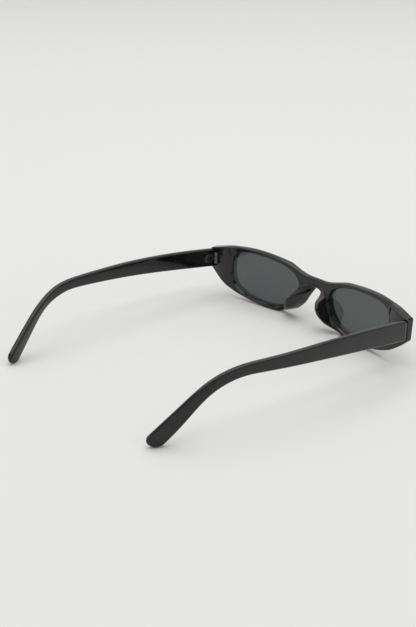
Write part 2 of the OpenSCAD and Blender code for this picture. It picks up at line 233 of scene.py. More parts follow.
def bake(piece: bpy.types.Object) -> bpy.types.Object:
    """Turns a piece with its modifiers into a plain mesh, and removes the modifiers.

    Args:
        piece: The object with its modifiers.

    Returns:
        The same object.
    """
    bpy.context.view_layer.update()
    graph = bpy.context.evaluated_depsgraph_get()
    data = bpy.data.meshes.new_from_object(piece.evaluated_get(graph), depsgraph=graph)
    piece.modifiers.clear()
    piece.data = data
    return piece


def carve(piece: bpy.types.Object, cutters: list[bpy.types.Object]) -> None:
    """Cuts solid cutters out of a piece and removes them.

    Args:
        piece: The piece that is cut.
        cutters: Closed meshes.
    """
    for cutter in cutters:
        cut = piece.modifiers.new("cut", "BOOLEAN")
        cut.operation, cut.solver, cut.object = "DIFFERENCE", "MANIFOLD", cutter
        bake(piece)
        bpy.data.objects.remove(cutter)


def bar(centre: Vector, along: Vector, radius: float, length: float, steps: int = 64) -> bpy.types.Object:
    """A round bar as a cutter.

    Args:
        centre: Middle of its start, in millimetres.
        along: Its direction.
        radius: Its radius.
        length: Its length.
        steps: Sides of its outline.

    Returns:
        The bar's object.
    """
    turn = along.to_track_quat("Z", "Y")
    points, faces = [], []
    for z in (0.0, length):
        for i in range(steps):
            a = 2 * math.pi * i / steps
            points.append(centre + turn @ Vector((radius * math.cos(a), radius * math.sin(a), z)))
    for i in range(steps):
        j = (i + 1) % steps
        faces.append((i, j, steps + j, steps + i))
    faces += [tuple(range(steps - 1, -1, -1)), tuple(range(steps, 2 * steps))]
    return mesh_piece("cutter", points, faces)


def block(low: Vector, high: Vector) -> bpy.types.Object:
    """A box between two corners in millimetres, as a cutter.

    Args:
        low: Its lowest corner.
        high: Its highest corner.

    Returns:
        The box's object.
    """
    x, y, z = zip(low, high)
    points = [Vector((x[i & 1], y[i >> 1 & 1], z[i >> 2])) for i in range(8)]
    faces = [(0, 2, 3, 1), (4, 5, 7, 6), (0, 1, 5, 4), (2, 6, 7, 3), (0, 4, 6, 2), (1, 3, 7, 5)]
    return mesh_piece("cutter", points, faces)


# The shared form: what the front, the lenses, the temples and the hinges take their places from


@dataclass(frozen=True)
class Form:
    """Sizes of the pair in millimetres, those of the part's source apart from flat_ease.

    flat_ease is the length over which the front's rear eases to a flat, longer here and softer.
    """

    front_w: float = 143
    base_r: float = 243
    arc_x: float = 47
    front_lean: float = 8.1
    end_lean: float = 5
    front_t: float = 4
    end_t: float = 3.7
    level_z: float = 15
    brow_h: float = 29
    brow_x: float = 45
    bridge_top: float = 23.4
    bridge_h: float = 4.7
    bridge_bevel: float = 1.3
    end_top: float = 25.4
    end_h: float = 10.8
    rim_foot_x: float = 30
    opening_w: float = 45.8
    opening_h: float = 23.9
    opening_gap: float = 22.4
    rim_low: float = 2.5
    temple_t: float = 3.2
    side_step: float = 0.15
    flat_ease: float = 13.5
    hinge_h: float = 20.3
    axis_in: float = 0.9
    seam: float = 0.2
    part_y: float = -76.5002

    @property
    def half_w(self) -> float:
        """Half the width of the front."""
        return self.front_w / 2

    @property
    def nasal_x(self) -> float:
        """Nasal side of the lens opening."""
        return self.opening_gap / 2

    @property
    def temporal_x(self) -> float:
        """Temporal side of the lens opening."""
        return self.nasal_x + self.opening_w

    @property
    def inner_x(self) -> float:
        """Inner face of the temple at the hinge."""
        return self.half_w - self.side_step - self.temple_t

    @property
    def axis_x(self) -> float:
        """Distance of the hinge axis from the middle."""
        return self.inner_x - self.axis_in

    @property
    def seam_y(self) -> float:
        """Plane where the front's rear meets the temple."""
        return self.face_y(self.half_w, self.hinge_h) + self.end_t

    @property
    def axis_y(self) -> float:
        """Depth of the hinge axis."""
        return self.seam_y + self.seam / 2

    def sweep_y(self, x: float) -> float:
        """Depth of the round sweep, which runs out straight.

        Args:
            x: Distance from the middle, of either sign.

        Returns:
            The depth in millimetres.
        """
        a = min(abs(x), self.arc_x)
        drop = math.sqrt(self.base_r**2 - a * a)
        return self.base_r - drop + (abs(x) - a) * a / drop

    def face_y(self, x: float, z: float) -> float:
        """Depth of the front face.

        Args:
            x: Distance from the middle, of either sign.
            z: Height above the table.

        Returns:
            The depth in millimetres.
        """
        share = max((abs(x) - self.temporal_x) / (self.half_w - self.temporal_x), 0) ** 2
        lean = mix(self.front_lean, self.end_lean, share)
        return self.sweep_y(x) - math.tan(math.radians(lean)) * (z - self.level_z)

    def rear_y(self, x: float, z: float) -> float:
        """Depth of the rear face, which eases to a flat where the temple butts."""
        ease = eased((abs(x) - self.inner_x + self.flat_ease) / self.flat_ease)
        return mix(self.face_y(x, z) + self.front_t, self.seam_y, ease)


FORM = Form()


def place(points: list[Vector]) -> list[Vector]:
    """Moves points from the form's depth to the part's."""
    return [Vector((p[0], p[1] + FORM.part_y, p[2])) for p in points]


@dataclass(frozen=True)
class Opening:
    """Outline of the left lens opening in the front view, by quarters of superellipses.

    The eases are how much taller it is than the drawn opening, above and below.
    """

    form: Form = FORM
    full_top_temporal: float = 3.3
    full_top_nasal: float = 2.2
    full_low_nasal: float = 2.0
    full_low_temporal: float = 2.5
    top_ease: float = 0.35
    low_ease: float = 0.35

    @property
    def wide_z(self) -> float:
        """Height where the opening is widest."""
        return self.form.rim_low + 0.62 * self.form.opening_h

    def _quarter(self, d: Vector) -> tuple[Vector, float, float, float]:
        """Centre, half axes and fullness of the quarter that looks along d.

        Args:
            d: Direction from the opening's middle.

        Returns:
            The centre, the half width, the half height and the exponent.
        """
        f = self.form
        top = d[1] >= 0
        cx = f.nasal_x + (0.67 if top else 0.45) * f.opening_w
        b = f.rim_low + f.opening_h + self.top_ease - self.wide_z
        if not top:
            b = self.wide_z - f.rim_low + self.low_ease
        outer = d[0] >= 0
        a = f.temporal_x - cx if outer else cx - f.nasal_x
        full = {
            (True, True): self.full_top_temporal,
            (True, False): self.full_top_nasal,
            (False, False): self.full_low_nasal,
            (False, True): self.full_low_temporal,
        }[(top, outer)]
        return Vector((cx, self.wide_z)), a, b, full

    def depth(self, p: Vector) -> float:
        """Under 1 inside the outline, 1 on it and more outside.

        Args:
            p: Point in the front view.

        Returns:
            The superellipse's value there.
        """
        f = self.form
        top = p[1] >= self.wide_z
        cx = f.nasal_x + (0.67 if top else 0.45) * f.opening_w
        _, a, b, full = self._quarter(Vector((p[0] - cx, p[1] - self.wide_z)))
        return (abs(p[0] - cx) / a) ** full + (abs(p[1] - self.wide_z) / b) ** full

    def hit(self, start: Vector, toward: Vector) -> Vector:
        """Where the line from a point inside to a point outside crosses the outline.

        Args:
            start: Point inside.
            toward: Point outside.

        Returns:
            The crossing, found by halving.
        """
        a, b = 0.0, 1.0
        for _ in range(40):
            m = (a + b) / 2
            if self.depth(start.lerp(toward, m)) < 1:
                a = m
            else:
                b = m
        return start.lerp(toward, b)

    def normal(self, p: Vector) -> Vector:
        """Outward direction of the outline at a point on it.

        Args:
            p: Point on the outline.

        Returns:
            Unit direction.
        """
        e = 1e-3
        gx = self.depth(p + Vector((e, 0))) - self.depth(p - Vector((e, 0)))
        gz = self.depth(p + Vector((0, e))) - self.depth(p - Vector((0, e)))
        return Vector((gx, gz)).normalized()


@dataclass
class Front:
    """The moulded front: rims, bridge, end pieces and nose pads in one skin."""

    form: Form = FORM
    opening: Opening = field(default_factory=Opening)
    top_front_r: float = 0.6
    bridge_front_r: float = 1.6
    top_rear_r: float = 0.8
    top_crown: float = 0.22
    low_front_r: float = 0.5
    low_rear_r: float = 0.5
    inner_r: float = 0.25
    lip: float = 0.5
    lens_lap: float = 0.8
    lens_t: float = 1.8
    lens_set: float = 1.35
    lens_fit: float = 0.07
    splay: float = 26
    pad_low: float = 1.9
    pad_top: float = 17.4
    pad_x: float = 10.7
    pad_reach: float = 12.8
    pad_r: float = 0.9
    pad_root: float = 1.3
    pad_bulge: float = 0.35
    bridge_half: float = 12
    bridge_fade: float = 9
    crown_x: float = 58
    crown_fade: float = 8
    band_w: float = 1.7
    runs: int = 290
    middle_runs: int = 5
    face_steps: int = 12
    round_steps: int = 6
    knuckle_r: float = 1.4
    knuckle_h: float = 2.0
    knuckle_gap: float = 0.1
    swing_gap: float = 0.3
    pocket_fit: float = 0.06
    disc_r: float = 3.15
    disc_in: float = 0.8
    disc_ahead: float = 1.15
    leaf_t: float = 1.0

    def top_line(self) -> Line:
        """Upper outline in the front view.

        Returns:
            Height over the distance from the middle.
        """
        f = self.form
        return Line(
            (
                (0, f.bridge_top + 0.3),
                (0.1 * f.brow_x, f.bridge_top + 0.3),
                (0.52 * f.brow_x, mix(f.bridge_top, f.brow_h, 0.65) + 0.4),
                (f.brow_x, f.brow_h - 0.1),
                (mix(f.brow_x, f.half_w, 0.57), mix(f.brow_h, f.end_top, 0.35)),
                (f.half_w, f.end_top),
            ),
            True,
        )

    def low_line(self) -> Line:
        """Lower outline in the front view, with half the nose notch.

        Returns:
            Height over the distance from the middle.
        """
        f = self.form
        notch_top, end_low = f.bridge_top - f.bridge_h, f.end_top - f.end_h
        notch = ((0, 1), (0.07, 0.91), (0.15, 0.73), (0.265, 0.43), (0.45, 0.18), (0.73, 0.035))
        rim = ((0, 0), (0.24, 0.075), (0.48, 0.2), (0.72, 0.435), (0.88, 0.715), (1, 1))
        return Line(
            tuple((p[0] * f.rim_foot_x, p[1] * notch_top) for p in notch)
            + tuple((mix(f.rim_foot_x, f.half_w, p[0]), p[1] * end_low) for p in rim),
            True,
        )

    def outline(self) -> list[Vector]:
        """Half outline from the bridge's top round the end to the bridge's underside.

        Returns:
            Evenly spread points in the front view.
        """
        f, top, low = self.form, self.top_line(), self.low_line()
        side = f.half_w
        raw = [Vector((side * i / 600, top.at(side * i / 600))) for i in range(601)]
        raw += [Vector((side, mix(f.end_top, f.end_top - f.end_h, i / 60))) for i in range(1, 60)]
        raw += [Vector((side * i / 900, low.at(side * i / 900))) for i in range(900, -1, -1)]
        return self._even(self._rounded_end(raw), self.runs)

    def _rounded_end(self, raw: list[Vector]) -> list[Vector]:
        """Rounds the outline's corners by sliding averages that never reach the middle.

        Args:
            raw: The outline with its corners.

        Returns:
            The outline without them.
        """
        points = self._even(raw, 2400)
        for _ in range(60):
            points = (
                [points[0]]
                + [(points[i - 1] + points[i] * 2 + points[i + 1]) / 4 for i in range(1, len(points) - 1)]
                + [points[-1]]
            )
        return points

    @staticmethod
    def _even(points: list[Vector], count: int) -> list[Vector]:
        """Spreads a line's points evenly along it.

        Args:
            points: The line.
            count: How many points it gets.

        Returns:
            The spread points.
        """
        lengths = [0.0]
        for a, b in zip(points, points[1:]):
            lengths.append(lengths[-1] + (b - a).length)
        spread, i = [], 0
        for n in range(count):
            want = lengths[-1] * n / (count - 1)
            while i < len(points) - 2 and lengths[i + 1] < want:
                i += 1
            step = lengths[i + 1] - lengths[i]
            spread.append(points[i].lerp(points[i + 1], (want - lengths[i]) / step if step else 0))
        return spread

    def crest(self, w: float) -> Vector:
        """Crest of the pad at a share w of its height.

        Args:
            w: Share of the pad's height, from its lower end.

        Returns:
            The crest's place.
        """
        out = Line(((-0.15, 14.5), (0, 9), (0.25, 3.4), (0.57, 0), (0.83, -2.7), (1, -4), (1.17, -4.6)))
        share = Line(
            ((-0.15, 0.37), (0, 0.5), (0.25, 0.82), (0.57, 1), (0.83, 0.84), (1, 0.46), (1.17, 0.31))
        )
        return Vector(
            (self.pad_x + out.at(w), share.at(w) * self.pad_reach, mix(self.pad_low, self.pad_top, w))
        )

    def _rim_section(
        self, p: Vector, inward: Vector, hole: Vector, lower: bool, room: float
    ) -> tuple[Vector, list[Vector], Vector]:
        """Section of the rim's outer band: front edge, wall or pad, and rear edge.

        Args:
            p: Point of the outline in the front view.
            inward: Direction into the rim there.
            hole: The matching point of the lens opening.
            lower: Whether the point is on the lower outline.
            room: Width that the band may take there.

        Returns:
            Where the band starts on the front face, its points, and where it ends on the rear face.
        """
        f = self.form

        def face(q: Vector) -> Vector:
            """Point of the front face."""
            return Vector((q[0], f.face_y(q[0], q[1]), q[1]))

        def rear(q: Vector) -> Vector:
            """Point of the rear face."""
            return Vector((q[0], f.rear_y(q[0], q[1]), q[1]))

        # The outer edges are rounder along the top than along the bottom and in the notch
        top = smooth(0.5 + inward[1] * -1.2)
        off_bridge = smooth((p[0] - self.bridge_half) / self.bridge_fade)
        blunt = mix(self.bridge_front_r, self.top_front_r, off_bridge)
        front_r, rear_r = mix(self.low_front_r, blunt, top), mix(self.low_rear_r, self.top_rear_r, top)
        start = face(p + inward * room)
        front_corner = face(p)
        q, pad = Vector(p), 0.0
        if lower and p[0] < f.rim_foot_x:
            shift = f.front_t * math.tan(math.radians(self.splay)) * math.sin(min(p[0] / 3, 1) * math.pi / 2)
            fade = 1 - smooth((p[0] - 0.4 * f.rim_foot_x) / (0.45 * f.rim_foot_x))
            q = p + Vector((shift * fade, 0))
            q[1] = p[1] + f.bridge_bevel * (1 - smooth(q[0] / (0.25 * f.rim_foot_x)))
            pad = smooth(p[0] / 1.8) * (1 - smooth((p[0] - 18) / 9))
        rear_corner, rear_next = rear(q), rear(q + inward * 0.55 * room)
        root, end = rear(q + inward * 0.61 * room), rear(q + inward * 0.67 * room)
        inner = 1 - smooth((p[0] - self.crown_x) / self.crown_fade)
        crown = self.top_crown * max(2 * top - 1, 0) * inner
        bulge = Vector((inward[0], 0, inward[1])) * -crown
        if pad > 0:
            lift = 1.3 * smooth((p[1] - 15.2) / 2.6)
            w = (p[1] + lift - self.pad_low) / (self.pad_top - self.pad_low)
            crest = self.crest(w)
            along = Vector((crest[0] - p[0], crest[1] - front_corner[1], 0)).normalized()
            side = Vector((along[1], -along[0], 0))
            across = side * (1.9 * self.pad_r)
            bulge = bulge.lerp(side * (-self.pad_bulge), pad)
            back = (Vector((crest[0], crest[2])) - hole).normalized()
            rear_corner = rear_corner.lerp(crest, pad)
            rear_next = rear_next.lerp(crest + across, pad)
            root = root.lerp(rear(hole + back * self.pad_root), pad)
            end = end.lerp(rear(hole + back * 0.6 * self.pad_root), pad)
        n = self.round_steps
        r2 = mix(min(rear_r, 0.5 * room), self.pad_r * 0.92, pad)
        r3 = mix(0.02 * room, self.pad_r * 0.78, pad)
        r4 = mix(0.02 * room, 0.5, pad)
        band = rounded(start, front_corner, rear_corner, min(front_r, 0.9 * room), n + 2)
        rear_round = rounded(front_corner, rear_corner, rear_next, r2, n)
        crest_round = rounded(rear_corner, rear_next, root, r3, n)
        foot = rounded(rear_next, root, end, r4, n)
        wall = [band[-1].lerp(rear_round[0], i / 6) + bulge * (4 * i / 6 * (1 - i / 6)) for i in range(1, 6)]
        band += wall + rear_round + crest_round
        band += [crest_round[-1].lerp(foot[0], i / 5) for i in range(1, 5)]
        return start, band + foot, end

    @property
    def spine_start(self) -> Vector:
        """Nasal end of the line inside the opening from which its wall is divided."""
        return Vector((24, 14))

    def _aim(self, p: Vector, lower: bool) -> Vector:
        """Where the line through the opening aims for a point of the outline.

        Near the bridge it is raised, so that the sections fan out from the notch and never cross.

        Args:
            p: Point of the outline.
            lower: Whether it is on the lower outline.

        Returns:
            The point to aim for.
        """
        if lower:
            raised = Line(((11, 0), (13.4, 1.4), (15.6, 3.2), (17, 5.9), (18.4, 8.8))).at(p[1])
            return p + Vector((0, raised if p[0] < 12 else 0))
        return p + Vector((0, Line(((0, 6.5), (5, 4.8), (12, 2.0), (20, 0))).at(p[0])))

    def _hole(self, p: Vector, lower: bool) -> Vector:
        """Point of the opening that matches a point of the outline."""
        spine = Vector((min(max(p[0], self.spine_start[0]), 46), self.spine_start[1]))
        return self.opening.hit(spine, spine + (self._aim(p, lower) - spine) * 1.5)

    def _rooms(self, rim: list[Vector], inwards: list[Vector], holes: list[Vector]) -> list[float]:
        """Width of the outer band along the outline, less where the rim is slim or the corner tight.

        Args:
            rim: The outline.
            inwards: Direction into the rim at each point.
            holes: The opening's point that matches each point.

        Returns:
            The width at each point.
        """
        rooms = []
        for k, p in enumerate(rim):
            room = min(self.band_w, 0.8 * ((p - holes[k]).length - 0.3))
            if 0 < k < len(rim) - 1:
                turn = inwards[k - 1].angle(inwards[k + 1], 0.0)
                bend = inwards[k - 1][0] * inwards[k + 1][1] - inwards[k - 1][1] * inwards[k + 1][0]
                if turn > 1e-4 and bend < 0:
                    room = min(room, 0.8 * (rim[k + 1] - rim[k - 1]).length / turn)
            rooms.append(room)
        wide = [min(rooms[max(k - 3, 0) : k + 4]) for k in range(len(rooms))]
        for _ in range(6):
            near = [wide[max(k - 1, 0) : k + 2] for k in range(len(wide))]
            wide = [sum(values) / len(values) for values in near]
        return wide

    def _wall(self, lip: float) -> list[tuple[float, float]]:
        """Section of the opening's wall with its groove: offset outwards and depth, front to rear.

        Args:
            lip: How far the rear lip opens outwards.

        Returns:
            Pairs of offset and depth.
        """
        f, r = self.form, self.inner_r
        s1 = f.front_t - self.lens_set
        s0 = s1 - self.lens_t
        lap = self.lens_lap + self.lens_fit
        turn = [i * math.pi / 8 for i in range(5)]
        wall = [(r - r * math.sin(a), r - r * math.cos(a)) for a in turn]
        ahead, behind = s0 - self.lens_fit, s1 + self.lens_fit
        wall += [(0, ahead), (lap, ahead), (lap, behind), (0, behind)]
        deep = self.lens_set - 0.25
        wall += [(lip * i / 8, f.front_t - deep + deep * i / 8) for i in range(8)]
        wall += [(lip + 0.12, f.front_t)]
        return wall

    def build(self) -> bpy.types.Object:
        """Builds the front, half by half, and cuts the hinge pockets.

        Returns:
            The front's object.
        """
        f = self.form
        rim = self.outline()
        count = len(rim)
        inwards, holes = [], []
        for k, p in enumerate(rim):
            run = Vector((1, 0)) if k == 0 else Vector((-1, 0)) if k == count - 1 else rim[k + 1] - rim[k - 1]
            inwards.append(Vector((run[1], -run[0])).normalized())
            holes.append(self._hole(p, k > count * 0.5))
        rooms = self._rooms(rim, inwards, holes)
        sections = []
        for k, (p, inward, hole) in enumerate(zip(rim, inwards, holes)):
            start, band, end = self._rim_section(p, inward, hole, k > count * 0.5, rooms[k])
            sections.append(self._section(hole, start, band, end))
        first, last = sections[0], sections[-1]
        wall_n = len(self._wall(self.lip))
        front_out = wall_n + self.face_steps
        rear_out = len(first) - self.face_steps
        points = [p for section in sections for p in section]
        width = len(first)
        faces = []
        for k in range(count - 1):
            for j in range(width):
                a, b = k * width + j, k * width + (j + 1) % width
                faces.append((a, b, b + width, a + width))
        # Between the last and the first section the faces end on the middle plane
        sides: list[list[int]] = [[(count - 1) * width + j for j in range(width)]]
        for m in range(1, self.middle_runs):
            t = m / self.middle_runs
            front_end = last[front_out - 1].lerp(first[front_out - 1], t)
            rear_end = last[rear_out].lerp(first[rear_out], t)
            aim = self._aim(rim[-1], True).lerp(self._aim(rim[0], False), t)
            hole = self.opening.hit(self.spine_start, aim)
            section = self._section(hole, front_end, [], rear_end)
            ids = []
            for j in range(width):
                if front_out <= j < rear_out:
                    ids.append(-1)
                    continue
                jj = j if j < front_out else j - (rear_out - front_out)
                ids.append(len(points))
                points.append(section[jj])
            sides.append(ids)
        sides.append(list(range(width)))
        for one, two in zip(sides, sides[1:]):
            for j in range(width):
                jn = (j + 1) % width
                quad = (one[j], one[jn], two[jn], two[j])
                if front_out - 1 <= j < rear_out or min(quad) < 0:
                    continue
                faces.append(quad)
        left = mesh_piece("front_moulding", place(points), faces)
        work = bmesh.new()
        work.from_mesh(left.data)
        for vert in work.verts:
            if abs(vert.co.x) < 2e-6:
                vert.co.x = 0
        half = bmesh.ops.duplicate(work, geom=work.verts[:] + work.edges[:] + work.faces[:])["geom"]
        for item in half:
            if isinstance(item, bmesh.types.BMVert):
                item.co.x = -item.co.x
        bmesh.ops.reverse_faces(work, faces=[g for g in half if isinstance(g, bmesh.types.BMFace)])
        work.to_mesh(left.data)
        work.free()
        tidy(left, 0.003)
        carve(left, [cutter for side in Side for cutter in self._pocket(side)])
        shade(left, 32)
        return left

    def _section(self, hole: Vector, start: Vector, band: list[Vector], end: Vector) -> list[Vector]:
        """One closed section: the opening's wall, the front face, the band and the rear face.

        Args:
            hole: Point of the opening.
            start: Where the band starts on the front face.
            band: Points of the band.
            end: Where it ends on the rear face.

        Returns:
            The section's points, from the opening's rear edge round to it again.
        """
        f = self.form
        out = self.opening.normal(hole)
        lip = min(self.lip, 0.42 * (Vector((end[0], end[2])) - hole).length)
        wall = []
        for offset, depth in self._wall(lip):
            q = hole + out * offset
            wall.append(Vector((q[0], f.face_y(q[0], q[1]) + depth, q[1])))
        section = wall[::-1]
        rim_front, rim_rear = wall[0], wall[-1]
        for i in range(1, self.face_steps + 1):
            t = i / self.face_steps
            x, z = mix(rim_front[0], start[0], t), mix(rim_front[2], start[2], t)
            section.append(Vector((x, f.face_y(x, z), z)))
        section += band
        for i in range(self.face_steps):
            t = i / self.face_steps
            x, z = mix(end[0], rim_rear[0], t), mix(end[2], rim_rear[2], t)
            section.append(Vector((x, f.rear_y(x, z), z)))
        return section

    def _pocket(self, side: Side) -> list[bpy.types.Object]:
        """Cutters for the front leaf's seat and the knuckles' room.

        Args:
            side: The side of the hinge.

        Returns:
            The two cutters.
        """
        f, s = self.form, side.sign
        stack = 3 * self.knuckle_h + 2 * self.knuckle_gap
        y = f.axis_y + f.part_y
        seat_y = y - self.disc_ahead - self.leaf_t - self.pocket_fit
        seat = bar(
            Vector((s * (f.axis_x - self.disc_in), seat_y, f.hinge_h)),
            Vector((0, 1, 0)),
            self.disc_r + self.pocket_fit,
            6,
        )
        room = bar(
            Vector((s * f.axis_x, y, f.hinge_h - stack / 2 - self.pocket_fit)),
            Vector((0, 0, 1)),
            self.knuckle_r + self.swing_gap,
            stack + 2 * self.pocket_fit,
        )
        return [seat, room]


@dataclass
class Lens:
    """A curved plano lens, its edge seated in the groove."""

    side: Side
    front: Front
    rings: int = 22
    runs: int = 200
    edge_r: float = 0.2

    def build(self) -> bpy.types.Object:
        """Builds the lens.

        Returns:
            The lens's object.
        """
        f, o = self.front.form, self.front.opening
        s1 = f.front_t - self.front.lens_set
        s0 = s1 - self.front.lens_t
        centre = Vector(((f.nasal_x + f.temporal_x) / 2, o.wide_z - 2))
        rim = []
        for i in range(self.runs):
            a = 2 * math.pi * i / self.runs
            hole = o.hit(centre, centre + Vector((math.cos(a) * 60, math.sin(a) * 40)))
            rim.append(hole + o.normal(hole) * self.front.lens_lap)
        r = self.edge_r
        section = [(self._share(i), 0.0, s0) for i in range(1, self.rings)]
        section += [(1, r, s0), (1, r * 0.3, s0 + r * 0.3), (1, 0, s0 + r)]
        section += [(1, 0, s1 - r), (1, r * 0.3, s1 - r * 0.3), (1, r, s1)]
        section += [(self._share(i), 0.0, s1) for i in range(self.rings - 1, 0, -1)]
        points, faces = [], []
        for share, inset, depth in section:
            for p in rim:
                q = centre + (p - centre) * share - (p - centre).normalized() * inset
                points.append(Vector((q[0], f.face_y(q[0], q[1]) + depth, q[1])))
        n = self.runs
        for i in range(len(section) - 1):
            for j in range(n):
                k = (j + 1) % n
                faces.append((i * n + j, i * n + k, (i + 1) * n + k, (i + 1) * n + j))
        for depth, row in ((s0, 0), (s1, len(section) - 1)):
            points.append(Vector((centre[0], f.face_y(centre[0], centre[1]) + depth, centre[1])))
            faces += [(row * n + j, row * n + (j + 1) % n, len(points) - 1) for j in range(n)]
        piece = mesh_piece(f"lens_shell_{self.side.value}", place(points), faces, self.side is Side.RIGHT)
        tidy(piece)
        return piece

    def _share(self, i: int) -> float:
        """Share of the way from the middle to the edge of ring i."""
        return i / self.rings


# Geometry Nodes


def plug(tree: bpy.types.NodeTree, node: bpy.types.Node, links: dict) -> None:
    """Links a node's inputs to output sockets, or sets them to values.

    Args:
        tree: The node tree.
        node: The node.
        links: Input name or number to a value or to an output socket.
    """
    for key, value in links.items():
        if isinstance(value, bpy.types.NodeSocket):
            tree.links.new(value, node.inputs[key])
        else:
            node.inputs[key].default_value = value


def add_node(
    tree: bpy.types.NodeTree, kind: str, links: dict | None = None, **settings: object
) -> bpy.types.Node:
    """Adds a node with its settings and links.

    Args:
        tree: The node tree.
        kind: Type name of the node.
        links: Input name or number to a value or to an output socket.
        settings: Properties of the node.

    Returns:
        The node.
    """
    node = tree.nodes.new(kind)
    for name, value in settings.items():
        setattr(node, name, value)
    plug(tree, node, links or {})
    return node


class Tree:
    """A geometry tree with named inputs that ends in Realize Instances and Set Material."""

    def __init__(self, name: str, inputs: dict[str, str]) -> None:
        """Starts the tree.

        Args:
            name: Name of the tree.
            inputs: Name of each input to its socket type.
        """
        self.tree = bpy.data.node_groups.new(name, "GeometryNodeTree")
        face = self.tree.interface
        face.new_socket(name="Geometry", in_out="INPUT", socket_type="NodeSocketGeometry")
        self.keys = {
            key: face.new_socket(name=key, in_out="INPUT", socket_type=kind).identifier
            for key, kind in inputs.items()
        }
        face.new_socket(name="Geometry", in_out="OUTPUT", socket_type="NodeSocketGeometry")
        self.inputs = self.tree.nodes.new("NodeGroupInput").outputs

    def add(self, kind: str, links: dict | None = None, **settings: object) -> bpy.types.Node:
        """Adds a node to this tree, as add_node does."""
        return add_node(self.tree, kind, links, **settings)

    def maths(self, operation: str, *values: object) -> bpy.types.NodeSocket:
        """A Math node's result for these values or sockets."""
        return self.add("ShaderNodeMath", dict(enumerate(values)), operation=operation).outputs[0]

    def sample(self, source: object, field_socket: object, index: object, kind: str) -> bpy.types.NodeSocket:
        """A field's value at one point of the source.

        Args:
            source: The geometry that is read.
            field_socket: The field.
            index: Number of the point.
            kind: Data type of the field.

        Returns:
            The value's socket.
        """
        node = self.add("GeometryNodeSampleIndex", data_type=kind, domain="POINT")
        self.tree.links.new(source, node.inputs["Geometry"])
        self.tree.links.new(field_socket, node.inputs["Value"])
        self.tree.links.new(index, node.inputs["Index"])
        return node.outputs["Value"]

    def lattice(self, rows: object, columns: object) -> tuple[object, object, object]:
        """A grid to be shaped, with the row and the column of each of its points.

        Args:
            rows: How many rows.
            columns: How many columns.

        Returns:
            The grid, the row and the column.
        """
        grid = self.add("GeometryNodeMeshGrid", {"Vertices X": rows, "Vertices Y": columns})
        index = self.add("GeometryNodeInputIndex").outputs[0]
        row = self.maths("FLOOR", self.maths("DIVIDE", self.maths("ADD", index, 0.5), columns))
        column = self.maths("SUBTRACT", index, self.maths("MULTIPLY", row, columns))
        return grid.outputs["Mesh"], row, column

    def end(self, geometry: object) -> None:
        """Ends the tree with the finish on the realised mesh.

        Args:
            geometry: The socket of the finished geometry.
        """
        smooth_mesh = self.add("GeometryNodeSetShadeSmooth", {"Geometry": geometry})
        real = self.add("GeometryNodeRealizeInstances", {"Geometry": smooth_mesh.outputs[0]})
        finish = self.add(
            "GeometryNodeSetMaterial", {"Geometry": real.outputs[0], "Material": self.inputs["Finish"]}
        )
        out = self.tree.nodes.new("NodeGroupOutput")
        self.tree.links.new(finish.outputs[0], out.inputs[0])

    def run(self, piece: bpy.types.Object, values: dict[str, object]) -> bpy.types.Object:
        """Runs the tree on a piece and bakes the result.

        Args:
            piece: The object that carries the input geometry.
            values: Input name to value.

        Returns:
            The piece with a plain mesh.
        """
        modifier = piece.modifiers.new("build", "NODES")
        modifier.node_group = self.tree
        for key, value in values.items():
            modifier[self.keys[key]] = value
        return bake(piece)


